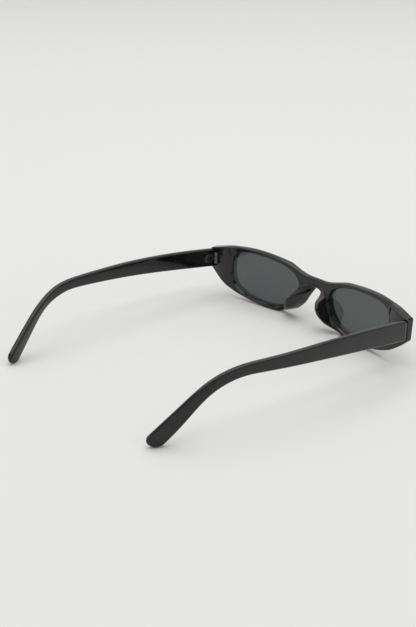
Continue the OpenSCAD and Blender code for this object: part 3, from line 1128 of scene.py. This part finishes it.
def section_tree() -> Tree:
    """A tree that sweeps a rectangle with round corners along a rail of sections.

    Each point of the rail is a section's middle and carries half its height and thickness, its
    upward direction and its direction across.

    Returns:
        The tree.
    """
    tree = Tree(
        "temple_sweep",
        {
            "Sections": "NodeSocketInt",
            "Corner Steps": "NodeSocketInt",
            "Edge Radius": "NodeSocketFloat",
            "Side": "NodeSocketFloat",
            "Finish": "NodeSocketMaterial",
        },
    )
    rail = tree.inputs["Geometry"]
    per = tree.maths("ADD", tree.inputs["Corner Steps"], 1.0)
    around = tree.maths("MULTIPLY", per, 4.0)
    grid, row, column = tree.lattice(tree.inputs["Sections"], tree.maths("ADD", around, 1.0))
    step = tree.maths("MODULO", tree.maths("ROUND", column), around)
    quarter = tree.maths("FLOOR", tree.maths("DIVIDE", tree.maths("ADD", step, 0.5), per))
    within = tree.maths("SUBTRACT", step, tree.maths("MULTIPLY", quarter, per))
    share = tree.maths("DIVIDE", within, tree.inputs["Corner Steps"])
    right_angle = math.pi / 2
    angle = tree.maths("MULTIPLY", tree.maths("ADD", quarter, share), right_angle)
    middle = tree.maths("MULTIPLY", tree.maths("ADD", quarter, 0.5), right_angle)

    def stored(name: str, kind: str, data: str) -> bpy.types.NodeSocket:
        """Value of a rail's attribute at this row."""
        attribute = tree.add("GeometryNodeInputNamedAttribute", {"Name": name}, data_type=kind)
        return tree.sample(rail, attribute.outputs[0], row, data)

    height, thick = stored("half_height", "FLOAT", "FLOAT"), stored("half_thick", "FLOAT", "FLOAT")
    up, across = (stored(name, "FLOAT_VECTOR", "FLOAT_VECTOR") for name in ("up", "across"))
    position = tree.add("GeometryNodeInputPosition").outputs[0]
    centre = tree.sample(rail, position, row, "FLOAT_VECTOR")
    least = tree.maths("MULTIPLY", tree.maths("MINIMUM", height, thick), 0.9)
    radius = tree.maths("MINIMUM", tree.inputs["Edge Radius"], least)

    def reach(wave: str, half: bpy.types.NodeSocket) -> bpy.types.NodeSocket:
        """Offset in one direction: the corner's middle plus its round.

        Args:
            wave: COSINE across the bar, SINE along its height.
            half: Half the bar's size in that direction.

        Returns:
            The offset's socket.
        """
        sign = tree.maths("SIGN", tree.maths(wave, middle))
        corner = tree.maths("MULTIPLY", sign, tree.maths("SUBTRACT", half, radius))
        return tree.maths("ADD", corner, tree.maths("MULTIPLY", radius, tree.maths(wave, angle)))

    spot = centre
    for way, far in ((across, reach("COSINE", thick)), (up, reach("SINE", height))):
        part = tree.add("ShaderNodeVectorMath", {0: way, "Scale": far}, operation="SCALE").outputs[0]
        spot = tree.add("ShaderNodeVectorMath", {0: spot, 1: part}, operation="ADD").outputs[0]
    sided = tree.add("ShaderNodeCombineXYZ", {"X": tree.inputs["Side"], "Y": 1.0, "Z": 1.0}).outputs[0]
    spot = tree.add("ShaderNodeVectorMath", {0: spot, 1: sided}, operation="MULTIPLY").outputs[0]
    skin = tree.add("GeometryNodeSetPosition", {"Geometry": grid, "Position": spot})
    closed = tree.add("GeometryNodeMergeByDistance", {"Geometry": skin.outputs[0], "Distance": 0.5e-6})
    tree.end(closed.outputs[0])
    return tree


@dataclass
class Temple:
    """A moulded temple: a tapered bar that climbs, bends down behind the ear, twists and wraps in.

    The fuller values are what it gains in height over the drawn bar: along it, in the bend and in
    the tail. run and foot_run are how far back the drawn bar and its foot reach, and trim is how
    far the foot is brought down to the table, as the part's source works them out. The insets
    keep the bar inside the drawn one.
    """

    side: Side
    form: Form = FORM
    length: float = 149.1
    height_hinge: float = 10.1
    height_slim: float = 4.1
    height_tip: float = 5.9
    slim_at: float = 118
    fuller: float = 0.7
    fuller_bend: float = 0.3
    fuller_tail: float = 0.8
    tail_at: float = 108
    tail_l: float = 30
    tip_down: float = 0.25
    twist: float = 23.0
    twist_at: float = 100
    twist_l: float = 18
    thick_hinge: float = 3.2
    thick_tip: float = 2.8
    edge_r: float = 1.0
    tip_r: float = 3.6
    tip_side_r: float = 0.8
    tip_slant: float = 9.4
    rise_angle: float = 7.2
    crest_angle: float = 2.8
    drop_angle: float = 42.6
    bend_at: float = 89.4
    bend_l: float = 39.7
    flare: float = 6.9
    wrap: float = 21.6
    end_chamfer: float = 0.35
    upright_l: float = 30
    slant_l: float = 15
    inset_x: float = 0.01
    inset_z: float = 0.004
    trim: float = 0.124
    run: float = 139.754
    foot_run: float = 137.424
    leaf_h: float = 4.8
    leaf_l: float = 7.4
    leaf_t: float = 1.0
    leaf_proud: float = 0.2

    def _heading(self, s: float) -> float:
        """Climb of the centre line in degrees."""
        level = self.rise_angle + (self.crest_angle - self.rise_angle) * min(s / self.bend_at, 1)
        return level - (self.drop_angle + self.crest_angle) * smooth((s - self.bend_at) / self.bend_l)

    def _height(self, s: float) -> float:
        """Height of the bar, a little fuller towards the tip than the drawn one.

        Args:
            s: Place along the bar.

        Returns:
            The height in millimetres.
        """
        slim = mix(self.height_hinge, self.height_slim, smooth(s / self.slim_at))
        gain = self.height_tip - self.height_slim
        return slim + gain * smooth((s - self.slim_at) / (self.length - self.slim_at)) + self._fuller(s)

    def _fuller(self, s: float) -> float:
        """What the bar gains in height, most of it in the drop behind the bend."""
        gain = self.fuller * smooth(s / 70) + self.fuller_bend * smooth((s - 95) / 15)
        return gain + self.fuller_tail * smooth((s - self.tail_at) / self.tail_l)

    def _shift(self, s: float) -> float:
        """How far the centre moves down, so that the upper edge stays and the tip keeps its foot.

        Args:
            s: Place along the bar.

        Returns:
            The shift in millimetres.
        """
        raised = 0.25 * smooth(s / 50) * (1 - smooth((s - 55) / 25))
        down = min(self._fuller(s) / 2, 0.45) - raised
        return mix(down, self.tip_down, smooth((s - 134) / 15))

    def _twist(self, s: float) -> float:
        """Twist of the tail in radians, its upper edge towards the head."""
        return math.radians(self.twist) * smooth((s - self.twist_at) / self.twist_l)

    def _thick(self, s: float) -> float:
        """Thickness of the bar."""
        return mix(self.thick_hinge, self.thick_tip, s / self.length)

    def _angle(self, s: float) -> float:
        """Angle of a section, upright at the hinge, square behind it and slanted at the tip."""
        square = self._heading(s) * smooth(s / self.upright_l)
        return 90 + square - self.tip_slant * smooth((s - self.length + self.slant_l) / self.slant_l)

    def _stations(self) -> list[tuple[float, float, float]]:
        """Places of the sections along the bar, with how far each is drawn in.

        Returns:
            Place, loss of half height and loss of half thickness of each section.
        """
        c, r = self.end_chamfer, self.tip_r
        closed = (1e9, 1e9)
        rows = [(0.0, *closed), (0.0, 2.2, 0.9), (0.0, c, c), (c * 0.3, c * 0.3, c * 0.3), (c, 0.0, 0.0)]
        rows += [(mix(c, 12, i / 10), 0.0, 0.0) for i in range(1, 10)]
        rows += [(mix(12, self.length - r, i / 130), 0.0, 0.0) for i in range(131)]
        for i in range(1, 9):
            a = math.radians(11 * i)
            in_h, in_t = r * (1 - math.cos(a)), self.tip_side_r * (1 - math.cos(a))
            rows.append((self.length - r + r * math.sin(a), in_h, in_t))
        rows += [(self.length, 2.3, 1.1), (self.length, *closed)]
        return rows

    def rail(self) -> bpy.types.Object:
        """The rail of sections for the left side, as loose points with attributes.

        Returns:
            The rail's object.
        """
        f = self.form
        lift = f.end_top - f.end_h / 2
        spots, half_h, half_t, ups, acrosses = [], [], [], [], []
        y = z = last = 0.0
        for s, in_h, in_t in self._stations():
            steps = max(int((s - last) / 0.1), 1)
            for i in range(steps):
                a = math.radians(self._heading(mix(last, s, (i + 0.5) / steps)))
                y += (s - last) / steps * math.cos(a)
                z += (s - last) / steps * math.sin(a)
            last = s
            a = math.radians(self._angle(s))
            u = y / self.run
            x = f.half_w - f.side_step + self.flare * u - self.wrap * u**3 - self._thick(s) / 2
            tilt = -self.trim / self.foot_run
            spot = Vector((x - self.inset_x, f.seam_y + f.seam + y, lift + z + tilt * y - self.inset_z))
            spots.append(spot - Vector((0, math.cos(a), math.sin(a))) * self._shift(s))
            half_h.append(max(self._height(s) / 2 - in_h, 0.0) * MM)
            half_t.append(max(self._thick(s) / 2 - in_t, 0.0) * MM)
            turn = self._twist(s)
            upright = Vector((0, math.cos(a), math.sin(a) + tilt * math.cos(a)))
            outward = Vector((1, 0, 0))
            ups.append(upright * math.cos(turn) - outward * math.sin(turn))
            acrosses.append(outward * math.cos(turn) + upright * math.sin(turn))
        piece = mesh_piece(f"temple_bar_{self.side.value}", place(spots), [])
        for name, values in (("half_height", half_h), ("half_thick", half_t)):
            piece.data.attributes.new(name, "FLOAT", "POINT").data.foreach_set("value", values)
        for name, ways in (("up", ups), ("across", acrosses)):
            flat = [c for way in ways for c in way]
            piece.data.attributes.new(name, "FLOAT_VECTOR", "POINT").data.foreach_set("vector", flat)
        return piece

    def build(self, tree: Tree, finish: bpy.types.Material) -> bpy.types.Object:
        """Sweeps the bar and cuts the pocket for its hinge leaf.

        Args:
            tree: The sweep.
            finish: Material of the bar.

        Returns:
            The temple's object.
        """
        piece = self.rail()
        sections = len(piece.data.vertices)
        tree.run(
            piece,
            {
                "Sections": sections,
                "Corner Steps": 5,
                "Edge Radius": self.edge_r * MM,
                "Side": self.side.sign,
                "Finish": finish,
            },
        )
        for name in ("half_height", "half_thick", "up", "across"):
            if name in piece.data.attributes:
                piece.data.attributes.remove(piece.data.attributes[name])
        tidy(piece, 0.001)
        carve(piece, self._pocket())
        shade(piece, 32)
        return piece

    def _pocket(self) -> list[bpy.types.Object]:
        """Cutters for the leaf, its neck and the knuckles.

        Returns:
            The three cutters.
        """
        f, s = self.form, self.side.sign
        front = Front()
        fit, gap = front.pocket_fit, front.swing_gap
        y = f.axis_y + f.part_y
        start = front.knuckle_r + gap
        centre = self.leaf_l - self.leaf_h / 2
        r = self.leaf_h / 2 + fit
        deep = self.leaf_t - self.leaf_proud + fit
        outline = [Vector((start - fit, -r)), Vector((centre, -r))]
        outline += [
            Vector((centre + r * math.sin(a), -r * math.cos(a)))
            for a in (math.pi * i / 32 for i in range(1, 32))
        ]
        outline += [Vector((centre, r)), Vector((start - fit, r))]
        points, n = [], len(outline)
        for x in (f.inner_x - 3, f.inner_x + deep):
            points += [Vector((s * x, y + p[0], f.hinge_h + p[1])) for p in outline]
        faces = [(i, (i + 1) % n, n + (i + 1) % n, n + i) for i in range(n)]
        faces += [tuple(range(n - 1, -1, -1)), tuple(range(n, 2 * n))]
        seat = mesh_piece("cutter", points, faces)
        tidy(seat)
        stack = 3 * front.knuckle_h + 2 * front.knuckle_gap
        room = bar(
            Vector((s * f.axis_x, y, f.hinge_h - stack / 2 - gap)),
            Vector((0, 0, 1)),
            front.knuckle_r + gap,
            stack + 2 * gap,
        )
        neck_h = front.knuckle_h / 2 + fit
        ends = sorted((s * f.axis_x, s * (f.inner_x + deep)))
        low = Vector((ends[0], y - start, f.hinge_h - neck_h))
        high = Vector((ends[1], y + start + 0.1, f.hinge_h + neck_h))
        return [seat, room, block(low, high)]


def screw_tree() -> Tree:
    """A tree that turns a profile into a screw, cuts its slot and winds its thread.

    Returns:
        The tree.
    """
    tree = Tree(
        "hinge_screw",
        {
            "Rows": "NodeSocketInt",
            "Segments": "NodeSocketInt",
            "Slot Width": "NodeSocketFloat",
            "Slot Depth": "NodeSocketFloat",
            "Top": "NodeSocketFloat",
            "Thread Turns": "NodeSocketFloat",
            "Thread Height": "NodeSocketFloat",
            "Thread Radius": "NodeSocketFloat",
            "Thread Depth": "NodeSocketFloat",
            "Place": "NodeSocketVector",
            "Finish": "NodeSocketMaterial",
        },
    )
    rail = tree.inputs["Geometry"]
    grid, row, column = tree.lattice(tree.inputs["Rows"], tree.maths("ADD", tree.inputs["Segments"], 1.0))
    angle = tree.maths("MULTIPLY", tree.maths("DIVIDE", column, tree.inputs["Segments"]), 2 * math.pi)
    position = tree.add("GeometryNodeInputPosition").outputs[0]
    knot = tree.add("ShaderNodeSeparateXYZ", {0: tree.sample(rail, position, row, "FLOAT_VECTOR")}).outputs
    spot = tree.add(
        "ShaderNodeCombineXYZ",
        {
            "X": tree.maths("MULTIPLY", knot["X"], tree.maths("COSINE", angle)),
            "Y": tree.maths("MULTIPLY", knot["X"], tree.maths("SINE", angle)),
            "Z": knot["Z"],
        },
    ).outputs[0]
    turned = tree.add("GeometryNodeSetPosition", {"Geometry": grid, "Position": spot})
    solid = tree.add("GeometryNodeMergeByDistance", {"Geometry": turned.outputs[0], "Distance": 0.5e-6})
    deep = tree.maths("MULTIPLY", tree.inputs["Slot Depth"], 2.0)
    # The slot's cutter is longer than the head is wide
    size = tree.add("ShaderNodeCombineXYZ", {"X": 0.004, "Y": tree.inputs["Slot Width"], "Z": deep})
    cube = tree.add("GeometryNodeMeshCube", {"Size": size.outputs[0]}).outputs["Mesh"]
    top = tree.add("ShaderNodeCombineXYZ", {"Z": tree.inputs["Top"]}).outputs[0]
    lifted = tree.add("GeometryNodeTransform", {"Geometry": cube, "Translation": top}).outputs[0]
    slotted = tree.add("GeometryNodeMeshBoolean", operation="DIFFERENCE", solver="EXACT")
    tree.tree.links.new(solid.outputs[0], slotted.inputs["Mesh 1"])
    tree.tree.links.new(lifted, slotted.inputs["Mesh 2"])
    spiral = tree.add(
        "GeometryNodeCurveSpiral",
        {
            "Resolution": 24,
            "Rotations": tree.inputs["Thread Turns"],
            "Start Radius": tree.inputs["Thread Radius"],
            "End Radius": tree.inputs["Thread Radius"],
            "Height": tree.inputs["Thread Height"],
        },
    )
    edge = tree.add(
        "GeometryNodeCurvePrimitiveCircle", {"Resolution": 6, "Radius": tree.inputs["Thread Depth"]}
    )
    thread = tree.add(
        "GeometryNodeCurveToMesh",
        {"Curve": spiral.outputs[0], "Profile Curve": edge.outputs[0], "Fill Caps": True},
    )
    joined = tree.add("GeometryNodeJoinGeometry")
    tree.tree.links.new(thread.outputs[0], joined.inputs[0])
    tree.tree.links.new(slotted.outputs[0], joined.inputs[0])
    placed = tree.add(
        "GeometryNodeTransform", {"Geometry": joined.outputs[0], "Translation": tree.inputs["Place"]}
    )
    tree.end(placed.outputs[0])
    return tree


@dataclass
class Hinge:
    """One screwed hinge: its two leaves from the CAD solids, edges broken, and its screw."""

    side: Side
    form: Form = FORM
    knuckle_h: float = 2.0
    knuckle_gap: float = 0.1
    screw_r: float = 0.7
    head_r: float = 1.0
    head_h: float = 0.5
    slot_w: float = 0.35
    slot_d: float = 0.25
    pitch: float = 0.4
    thread_d: float = 0.07
    broken: float = 0.07

    def leaf(self, node: str, name: str) -> bpy.types.Object:
        """A leaf with its edges broken, from a merged copy of a CAD solid.

        Args:
            node: The CAD node.
            name: Name of the piece.

        Returns:
            The leaf's object.
        """
        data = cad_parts[node].data.copy()
        data.materials.clear()
        piece = bpy.data.objects.new(name, data)
        bpy.context.scene.collection.objects.link(piece)
        work = bmesh.new()
        work.from_mesh(data)
        bmesh.ops.remove_doubles(work, verts=work.verts, dist=1e-6)
        flat = math.radians(1.5)
        bmesh.ops.dissolve_limit(work, angle_limit=flat, verts=work.verts, edges=work.edges)
        work.to_mesh(data)
        work.free()
        edge = piece.modifiers.new("broken edges", "BEVEL")
        edge.width, edge.segments, edge.limit_method = self.broken * MM, 2, "ANGLE"
        edge.angle_limit = math.radians(40)
        edge.use_clamp_overlap, edge.harden_normals = True, False
        bake(piece)
        shade(piece, 35)
        return piece

    def screw(self, tree: Tree, finish: bpy.types.Material) -> bpy.types.Object:
        """Turns the screw.

        Args:
            tree: The screw's tree.
            finish: Its material.

        Returns:
            The screw's object.
        """
        f = self.form
        stack = 3 * self.knuckle_h + 2 * self.knuckle_gap
        low, under, rim = -stack / 2, stack / 2 - self.head_h + 0.02, 0.08
        core = self.screw_r - self.thread_d
        thread_top = low + self.knuckle_h
        profile = [
            (0, low),
            (core - 0.12, low),
            (core, low + 0.12),
            (core, thread_top),
            (self.screw_r, thread_top + 0.1),
            (self.screw_r, under - 0.001),
            (self.head_r - rim, under),
            (self.head_r, under + rim),
            (self.head_r, stack / 2 - rim),
            (self.head_r - rim * 0.3, stack / 2 - rim * 0.3),
            (self.head_r - rim, stack / 2),
            (0, stack / 2),
        ]
        piece = mesh_piece(f"screw_{self.side.value}", [Vector((r, 0, z)) for r, z in profile], [])
        place_at = Vector((self.side.sign * f.axis_x, f.axis_y + f.part_y, f.hinge_h)) * MM
        wound = self.knuckle_h - 0.3
        tree.run(
            piece,
            {
                "Rows": len(profile),
                "Segments": 40,
                "Slot Width": self.slot_w * MM,
                "Slot Depth": self.slot_d * MM,
                "Top": stack / 2 * MM,
                "Thread Turns": wound / self.pitch,
                "Thread Height": wound * MM,
                "Thread Radius": core * MM,
                "Thread Depth": self.thread_d * MM,
                "Place": place_at,
                "Finish": finish,
            },
        )
        shade(piece, 35)
        return piece


# Finishes


def linear(hex_colour: str) -> tuple[float, float, float, float]:
    """Linear colour from an sRGB hex value.

    Args:
        hex_colour: The colour, as #RRGGBB.

    Returns:
        Red, green, blue and an alpha of 1.
    """
    parts = [int(hex_colour[i : i + 2], 16) / 255 for i in (1, 3, 5)]
    r, g, b = (c / 12.92 if c <= 0.04045 else ((c + 0.055) / 1.055) ** 2.4 for c in parts)
    return r, g, b, 1.0


def new_material(name: str) -> tuple[bpy.types.Material, bpy.types.NodeTree, bpy.types.NodeSocket]:
    """A node material, its tree and its Object coordinates.

    Args:
        name: Name of the material.

    Returns:
        The material, its tree and the coordinates' socket.
    """
    material = bpy.data.materials.new(name)
    material.use_nodes = True
    tree = material.node_tree
    return material, tree, add_node(tree, "ShaderNodeTexCoord").outputs["Object"]


def finish_with(tree: bpy.types.NodeTree, links: dict) -> None:
    """Sets or links the inputs of a material's Principled shader."""
    plug(tree, tree.nodes["Principled BSDF"], links)


@dataclass(frozen=True)
class MouldedPolycarbonate:
    """Injection-moulded black polycarbonate, tumbled and polished.

    It is nearly black in itself and shows its surroundings: sharp reflections with a faint
    waviness, soft haze from handling and a few specks of dust.
    """

    name: str = "black_polycarbonate_moulded"
    colour: str = "#0B0B0C"
    dust: str = "#6E6C68"
    roughness: float = 0.07
    haze: float = 0.05
    ior: float = 1.5

    def dress(self) -> bpy.types.Material:
        """Builds the material.

        Returns:
            The material.
        """
        material, tree, where = new_material(self.name)
        # Handling haze in patches of about 12 mm
        cloud = add_node(tree, "ShaderNodeTexNoise", {"Vector": where, "Scale": 85.0, "Detail": 3.0})
        rough = add_node(
            tree,
            "ShaderNodeMapRange",
            {
                "Value": cloud.outputs[0],
                "From Min": 0.35,
                "From Max": 0.7,
                "To Min": self.roughness,
                "To Max": self.roughness + self.haze,
            },
        )
        # Dust specks of about 0.12 mm, drawn coarser than real ones so that they show
        grit = add_node(tree, "ShaderNodeTexNoise", {"Vector": where, "Scale": 2600.0, "Detail": 0.0})
        rare = {"Value": grit.outputs[0], "From Min": 0.80, "From Max": 0.84}
        speck = add_node(tree, "ShaderNodeMapRange", rare).outputs[0]
        shades = {"Factor": speck, 6: linear(self.colour), 7: linear(self.dust)}
        tint = add_node(tree, "ShaderNodeMix", shades, data_type="RGBA").outputs[2]
        dull = add_node(tree, "ShaderNodeMath", {0: speck, 1: 0.5}, operation="MULTIPLY").outputs[0]
        all_rough = add_node(tree, "ShaderNodeMath", {0: rough.outputs[0], 1: dull}, operation="ADD")
        # Mould waviness of about 9 mm
        wave = add_node(tree, "ShaderNodeTexNoise", {"Vector": where, "Scale": 110.0, "Detail": 1.0})
        relief = {"Height": wave.outputs[0], "Strength": 0.25, "Distance": 4e-5}
        bump = add_node(tree, "ShaderNodeBump", relief).outputs[0]
        finish_with(
            tree,
            {"Base Color": tint, "Roughness": all_rough.outputs[0], "Normal": bump, "IOR": self.ior},
        )
        return material


@dataclass(frozen=True)
class SmokeLens:
    """Smoke-grey polycarbonate lens, cast and hard-coated.

    Its two faces together let about a fifteenth of the light through, nearly neutral, and both
    are mirror-smooth.
    """

    name: str = "smoke_polycarbonate_lens"
    colour: str = "#1E2B2D"
    cover: float = 0.74
    roughness: float = 0.02
    haze: float = 0.03
    ior: float = 1.59

    def dress(self) -> bpy.types.Material:
        """Builds the material.

        Returns:
            The material.
        """
        material, tree, where = new_material(self.name)
        # Wiping haze in soft streaks of about 15 mm
        cloud = add_node(tree, "ShaderNodeTexNoise", {"Vector": where, "Scale": 70.0, "Detail": 2.0})
        rough = add_node(
            tree,
            "ShaderNodeMapRange",
            {
                "Value": cloud.outputs[0],
                "From Min": 0.4,
                "From Max": 0.7,
                "To Min": self.roughness,
                "To Max": self.roughness + self.haze,
            },
        ).outputs[0]
        finish_with(
            tree,
            {"Roughness": rough, "Base Color": linear(self.colour), "Alpha": self.cover, "IOR": self.ior},
        )
        return material


@dataclass(frozen=True)
class HingePlate:
    """Stamped nickel silver with a gunmetal plating, tumbled.

    A dim warm grey metal with soft highlights and a fine tumbled grain.
    """

    name: str = "nickel_silver_gunmetal"
    colour: str = "#565459"
    worn: str = "#716E6F"
    roughness: float = 0.4

    def dress(self) -> bpy.types.Material:
        """Builds the material.

        Returns:
            The material.
        """
        material, tree, where = new_material(self.name)
        # Tumbled grain of about 0.15 mm, drawn as coarse as it needs to show
        fine = {"Vector": where, "Scale": 6000.0, "Detail": 2.0}
        grain = add_node(tree, "ShaderNodeTexNoise", fine).outputs[0]
        # Wear in patches of about 1.5 mm
        patch = add_node(tree, "ShaderNodeTexNoise", {"Vector": where, "Scale": 700.0, "Detail": 2.0})
        shades = {"Factor": patch.outputs[0], 6: linear(self.colour), 7: linear(self.worn)}
        tint = add_node(tree, "ShaderNodeMix", shades, data_type="RGBA").outputs[2]
        spread = {"Value": grain, "To Min": self.roughness - 0.08, "To Max": self.roughness + 0.12}
        rough = add_node(tree, "ShaderNodeMapRange", spread).outputs[0]
        relief = {"Height": grain, "Strength": 0.2, "Distance": 1e-5}
        bump = add_node(tree, "ShaderNodeBump", relief).outputs[0]
        finish_with(tree, {"Base Color": tint, "Roughness": rough, "Normal": bump, "Metallic": 1.0})
        return material


@dataclass(frozen=True)
class TurnedSteel:
    """Turned stainless steel of the hinge screws, with fine rings from the tool."""

    name: str = "stainless_steel_turned"
    colour: str = "#A7A6A4"
    roughness: float = 0.26

    def dress(self) -> bpy.types.Material:
        """Builds the material.

        Returns:
            The material.
        """
        material, tree, where = new_material(self.name)
        # Tool rings every 0.2 mm up the screw
        waves = {"Vector": where, "Scale": 1600.0, "Distortion": 0.5}
        rings = add_node(tree, "ShaderNodeTexWave", waves, bands_direction="Z").outputs[0]
        spread = {"Value": rings, "To Min": self.roughness - 0.06, "To Max": self.roughness + 0.08}
        rough = add_node(tree, "ShaderNodeMapRange", spread).outputs[0]
        finish_with(tree, {"Roughness": rough, "Base Color": linear(self.colour), "Metallic": 1.0})
        return material


@dataclass(frozen=True)
class TableTop:
    """Matt white board under the pair, with a faint tooth."""

    name: str = "table_board"
    colour: str = "#E8E8E5"

    def dress(self) -> bpy.types.Material:
        """Builds the material.

        Returns:
            The material.
        """
        material, tree, where = new_material(self.name)
        # Tooth of about 1 mm
        tooth = add_node(tree, "ShaderNodeTexNoise", {"Vector": where, "Scale": 900.0, "Detail": 2.0})
        relief = {"Height": tooth.outputs[0], "Strength": 0.04, "Distance": 5e-5}
        bump = add_node(tree, "ShaderNodeBump", relief).outputs[0]
        finish_with(tree, {"Normal": bump, "Base Color": linear(self.colour), "Roughness": 0.7})
        return material


# The studio


@dataclass
class Studio:
    """Table, soft light and the photograph's camera.

    The camera's spot is in millimetres, the roof light and the table in metres. The sky is pairs
    of height, from 0 at the horizon to 1 overhead, and brightness.
    """

    spot: tuple[float, float, float] = (-403.3, 333.5, 231.5)
    azimuth: float = 230.261
    elevation: float = 21.655
    roll: float = -0.225
    focal: float = 1175.92
    frame_h: float = 627
    sky: tuple[tuple[float, float], ...] = (
        (0.0, 0.62),
        (0.36, 0.66),
        (0.47, 0.88),
        (0.59, 0.88),
        (0.67, 0.22),
        (0.8, 0.2),
        (1.0, 0.45),
    )
    roof: tuple[float, float, float] = (0.2, -0.2, 1.9)
    roof_size: float = 3.0
    roof_power: float = 31.5
    table_half: float = 6.0

    def camera(self) -> None:
        """Sets the camera at the photograph's place."""
        az, el, roll = (math.radians(v) for v in (self.azimuth, self.elevation, self.roll))
        back = Vector((math.sin(az) * math.cos(el), -math.cos(az) * math.cos(el), math.sin(el)))
        right = Vector((0, 0, 1)).cross(back).normalized()
        up = back.cross(right)
        turned = right * math.cos(roll) + up * math.sin(roll)
        raised = up * math.cos(roll) - right * math.sin(roll)
        data = bpy.data.cameras.new("camera")
        data.sensor_fit, data.sensor_height = "VERTICAL", 36.0
        data.lens = self.focal * 36.0 / self.frame_h
        data.clip_start, data.clip_end = 0.01, 50.0
        camera = bpy.data.objects.new("camera", data)
        camera.matrix_world = Matrix.Translation(Vector(self.spot) * MM) @ Matrix(
            (turned, raised, back)
        ).transposed().to_4x4()
        bpy.context.scene.collection.objects.link(camera)
        bpy.context.scene.camera = camera

    def light(self) -> None:
        """Hangs the roof light and the sky."""
        world = bpy.data.worlds.new("studio")
        world.use_nodes = True
        tree = world.node_tree
        tree.nodes.clear()
        way = add_node(tree, "ShaderNodeTexCoord").outputs["Generated"]
        height = add_node(tree, "ShaderNodeSeparateXYZ", {0: way}).outputs["Z"]
        ramp = add_node(tree, "ShaderNodeValToRGB", {"Fac": height})
        stops = ramp.color_ramp.elements
        for i, (at, value) in enumerate(self.sky):
            stop = stops[i] if i < 2 else stops.new(at)
            stop.position, stop.color = at, (value, value, value, 1.0)
        level = ramp.outputs["Color"]
        sky = add_node(
            tree, "ShaderNodeBackground", {"Color": linear("#FDFDFF"), "Strength": level}
        ).outputs[0]
        add_node(tree, "ShaderNodeOutputWorld", {"Surface": sky})
        bpy.context.scene.world = world
        data = bpy.data.lights.new("roof_box", "AREA")
        data.shape, data.size, data.energy = "DISK", self.roof_size, self.roof_power
        lamp = bpy.data.objects.new("roof_box", data)
        lamp.location = self.roof
        lamp.rotation_euler = Vector(self.roof).to_track_quat("Z", "Y").to_euler()
        bpy.context.scene.collection.objects.link(lamp)

    def table(self) -> None:
        """Lays the table top."""
        half = self.table_half
        corners = [(-half, -half, 0), (half, -half, 0), (half, half, 0), (-half, half, 0)]
        data = bpy.data.meshes.new("table_top")
        data.from_pydata(corners, [], [(0, 1, 2, 3)])
        table = bpy.data.objects.new("table_top", data)
        table.data.materials.append(TableTop().dress())
        bpy.context.scene.collection.objects.link(table)


def hand_over(
    piece: bpy.types.Object, body: str, node: str, finish: bpy.types.Material
) -> None:
    """Gives a finished piece its material and body, hides the CAD node that it stands for, and reports it.

    Args:
        piece: The piece.
        body: The CAD body that it rides on.
        node: The CAD node that it stands for.
        finish: Its material.
    """
    piece.data.materials.clear()
    piece.data.materials.append(finish)
    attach(piece, body)
    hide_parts(node)
    LOG.info("%s: %d faces on %s", piece.name, len(piece.data.polygons), body)


def main() -> None:
    """Builds and dresses the pair, piece by piece."""
    logging.basicConfig(level=logging.INFO, format="%(name)s: %(message)s")
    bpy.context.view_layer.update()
    studio = Studio()
    studio.camera()
    studio.light()
    studio.table()
    plastic = MouldedPolycarbonate().dress()
    smoke = SmokeLens().dress()
    plate = HingePlate().dress()
    steel = TurnedSteel().dress()

    front = Front()
    hand_over(front.build(), FRONT_BODY, "front_frame", plastic)
    sweep, turning = section_tree(), screw_tree()
    for side in Side:
        name = side.value
        hand_over(Lens(side, front).build(), FRONT_BODY, f"lens_{name}", smoke)
        hand_over(Temple(side).build(sweep, plastic), side.body, f"temple_{name}", plastic)
        hinge = Hinge(side)
        for kind, body in (("front", FRONT_BODY), ("temple", side.body)):
            node = f"hinge_{kind}_leaf_{name}"
            hand_over(hinge.leaf(node, f"{kind}_leaf_{name}"), body, node, plate)
        hand_over(hinge.screw(turning, steel), FRONT_BODY, f"hinge_screw_{name}", steel)
    bpy.context.scene.view_settings.view_transform = "Standard"


if __name__ == "__main__":
    main()
